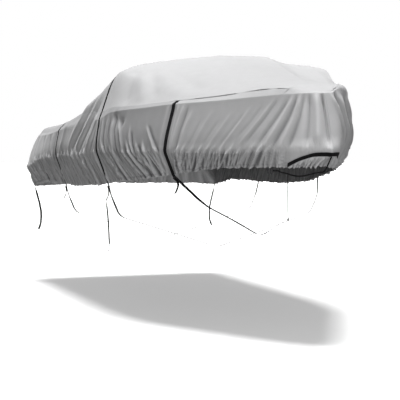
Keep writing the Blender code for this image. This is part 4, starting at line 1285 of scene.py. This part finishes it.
def rope_piece(name, path, diameter, sides, start, replaces=True):
    """A twisted three-strand rope: its section turns along the path, from a start angle."""
    radius = diameter / 2
    along = unit(np.gradient(path, axis=0))
    upright = abs(along[0, 2]) > 0.9
    axes = [unit(np.cross(along[0], (1.0, 0.0, 0.0) if upright else (0.0, 0.0, 1.0)))]
    for direction in along[1:]:
        axes.append(unit(axes[-1] - direction * (axes[-1] @ direction)))
    axes = np.array(axes)
    other = np.cross(along, axes)
    run = run_along(path)
    around = np.linspace(0, 2 * math.pi, sides, endpoint=False)
    turn = run[:, None] * (2 * math.pi / (radius * 9)) + start
    ring = radius * (0.90 + 0.10 * np.abs(np.cos(1.5 * (around - turn))))
    x = (ring * np.cos(around))[..., None]
    y = (ring * np.sin(around))[..., None]
    points = path[:, None] + axes[:, None] * x + other[:, None] * y
    last = (len(path) - 1) * sides
    faces = [(row + n, row + (n + 1) % sides, row + (n + 1) % sides + sides, row + n + sides)
             for row in range(0, last, sides) for n in range(sides)]
    faces += [tuple(range(sides))[::-1], tuple(range(last, last + sides))]
    uv = np.stack((np.repeat(run, sides),
                   np.tile(around / (2 * math.pi) * 0.02, len(path))), axis=-1)
    mesh = add_mesh(name, points, faces, uv, [len(face) == 4 for face in faces])
    return add_piece(name, mesh, WEBBING, replaces)


def build_bow_ties():
    """The buckle under the hem, the rope round the stem and the line to the winch."""
    along = np.array(BOW_BUCKLE_ALONG)
    build_buckle("bow_line_buckle", BOW_BUCKLE, along, (0, 0, 1))
    start = np.array(BOW_BUCKLE) + along * (BUCKLE_LENGTH / 2 + FACE_GAP)
    path = spline_points([start, start + along * 0.03, *BOW_ROPE], 0.004)
    rope = rope_piece("bow_rope", path, ROPE_DIAMETER, 24, 0.0)
    path = hanging(BOW_LINE_TOP, BOW_LINE, 0.004)
    line = rope_piece("bow_line", path, LINE_DIAMETER, 20, 1.0)
    knot = build_knot("bow_line_knot", path[-1])


def build_knot(name, end):
    """An overhand knot at the end of the line, of nearly the line's own diameter."""
    t = np.arange(91) * 2 * math.pi / 91 * 0.94 + 0.2
    x = np.sin(t) + 2 * np.sin(2 * t)
    y = np.cos(t) - 2 * np.cos(2 * t)
    path = np.stack((0.0018 * x, -0.0024 * np.sin(3 * t), 0.0021 * y), axis=1)
    path = path + end + (0, 0, -0.004)
    return rope_piece(name, path, LINE_DIAMETER * 0.95, 14, 0.5, False)


# ---------------------------------------------------------------- stage, light, camera
GROUND = -CROWN_HEIGHT
CAMERA_PLACE = (10.69, -3.47, 1.31)
CAMERA_HEADING = 70.5
CAMERA_LENS = 108.0
SENSOR_WIDTH = 36.0
HORIZON_SHIFT = -0.125
FAR_CLIP = 1000
STAGE_REACH = 120.0
BACKDROP_SIDES = 48
FLOOR_GREY = 0.86
FLOOR_GLOW = 0.35
ROOM_LIGHT = 0.19
# The broad lights: name, strength, how wide the source looks in degrees, where it is
LIGHTS = (
    ("overhead", 4.95, 22.0, (-0.05, 0.00, 1.00)),
    ("front", 0.92, 12.0, (0.99, 0.05, -0.10)),
    ("side", 0.42, 16.0, (-0.10, -1.00, 0.05)),
)
BOW_LIGHT = 3.3
BOW_LIGHT_SIZE = 0.5
BOW_LIGHT_PLACE = (4.25, -0.95, 1.50)
BOW_LIGHT_AIM = (3.40, -0.05, 1.50)


def stage_piece(name, points, faces, grey, glow):
    """A matt, glowing piece of the stage that throws no light on the cover."""
    finish = Nodes(name).shade({
        "Base Color": (grey, grey, grey, 1), "Roughness": 0.9, "Specular IOR Level": 0.0,
        "Emission Color": (1, 1, 1, 1), "Emission Strength": glow})
    mesh = bpy.data.meshes.new(name)
    mesh.from_pydata(points, [], faces)
    mesh.materials.append(finish)
    piece = link(bpy.data.objects.new(name, mesh))
    piece.visible_diffuse = False
    piece.visible_glossy = False
    piece.visible_shadow = False


def build_stage():
    """A pale floor and a white backdrop all round."""
    corners = [(STAGE_REACH * x, STAGE_REACH * y, GROUND)
               for x, y in ((-1, -1), (1, -1), (1, 1), (-1, 1))]
    stage_piece("studio_floor", corners, [(0, 1, 2, 3)], FLOOR_GREY, FLOOR_GLOW)
    count = BACKDROP_SIDES
    reach = 0.9 * STAGE_REACH
    points = [(reach * math.cos(turn), reach * math.sin(turn), GROUND + z)
              for z in (-0.5, STAGE_REACH)
              for turn in np.linspace(0, 2 * math.pi, count, endpoint=False)]
    faces = [(k, (k + 1) % count, count + (k + 1) % count, count + k) for k in range(count)]
    faces.append(tuple(range(count, 2 * count)))
    stage_piece("studio_backdrop", points, faces, 0.0, 1.0)


def add_light(name, kind, strength, place):
    """A light that shines from a direction towards the origin."""
    data = bpy.data.lights.new(name, kind)
    data.energy = strength
    light = link(bpy.data.objects.new(name, data))
    light.rotation_euler = Vector(place).to_track_quat("Z", "Y").to_euler()
    return light


def build_lights():
    """A dim even room, three broad lights far off and one soft light close to the bow."""
    world = bpy.data.worlds.new("studio")
    world.use_nodes = True
    background = world.node_tree.nodes["Background"]
    background.inputs["Color"].default_value = (1, 1, 1, 1)
    background.inputs["Strength"].default_value = ROOM_LIGHT
    bpy.context.scene.world = world
    for name, strength, spread, place in LIGHTS:
        add_light(name, "SUN", strength, place).data.angle = math.radians(spread)
    back = Vector(BOW_LIGHT_PLACE) - Vector(BOW_LIGHT_AIM)
    light = add_light("bow", "AREA", BOW_LIGHT, back)
    light.data.size = BOW_LIGHT_SIZE
    light.location = Vector(np.array(BOW_LIGHT_PLACE) - ORIGIN)
    light.visible_camera = False
    bpy.context.scene.view_settings.view_transform = "Standard"


def build_camera():
    data = bpy.data.cameras.new("camera")
    data.lens = CAMERA_LENS
    data.sensor_width = SENSOR_WIDTH
    data.shift_y = HORIZON_SHIFT
    data.clip_end = FAR_CLIP
    camera = link(bpy.data.objects.new("camera", data))
    camera.location = Vector(np.array(CAMERA_PLACE) - ORIGIN)
    camera.rotation_euler = (math.radians(90), 0, math.radians(CAMERA_HEADING))
    bpy.context.scene.camera = camera


# ---------------------------------------------------------------- build
build_stage()
build_lights()
build_camera()

top = build_top()
starboard = build_side(STARBOARD)
port = build_side(PORT)
strap_ends = build_straps()
build_trim()
for strap in STRAPS:
    tail_end = build_under_strap(strap, strap_ends[strap])
    if strap == "mid":
        tie_path = hanging(tail_end, SIDE_TIE, 0.012)
        strip_piece("side_tie", tie_path, (THIN_TIE_WIDTH / 2, 0, 0), twist=-TIE_TWIST)
        hook_path = hanging(tie_path[-1] + (0, -STRAP_THICKNESS / 2, 0), HOOK, 0.003)
        build_hook("side_tie_hook", hook_path)
for side, place in SIDES.items():
    corner = side_surface(side, np.array((1.98, 1.99, 2.0)), side_runs)[0][-1, -1]
    path = hanging(corner, np.array(STERN_TIE) * (1, side, 1), 0.012)
    strip_piece("stern_tie_" + place, path, (TIE_WIDTH / 2, 0, 0), twist=TIE_TWIST * side)
build_bow_ties()
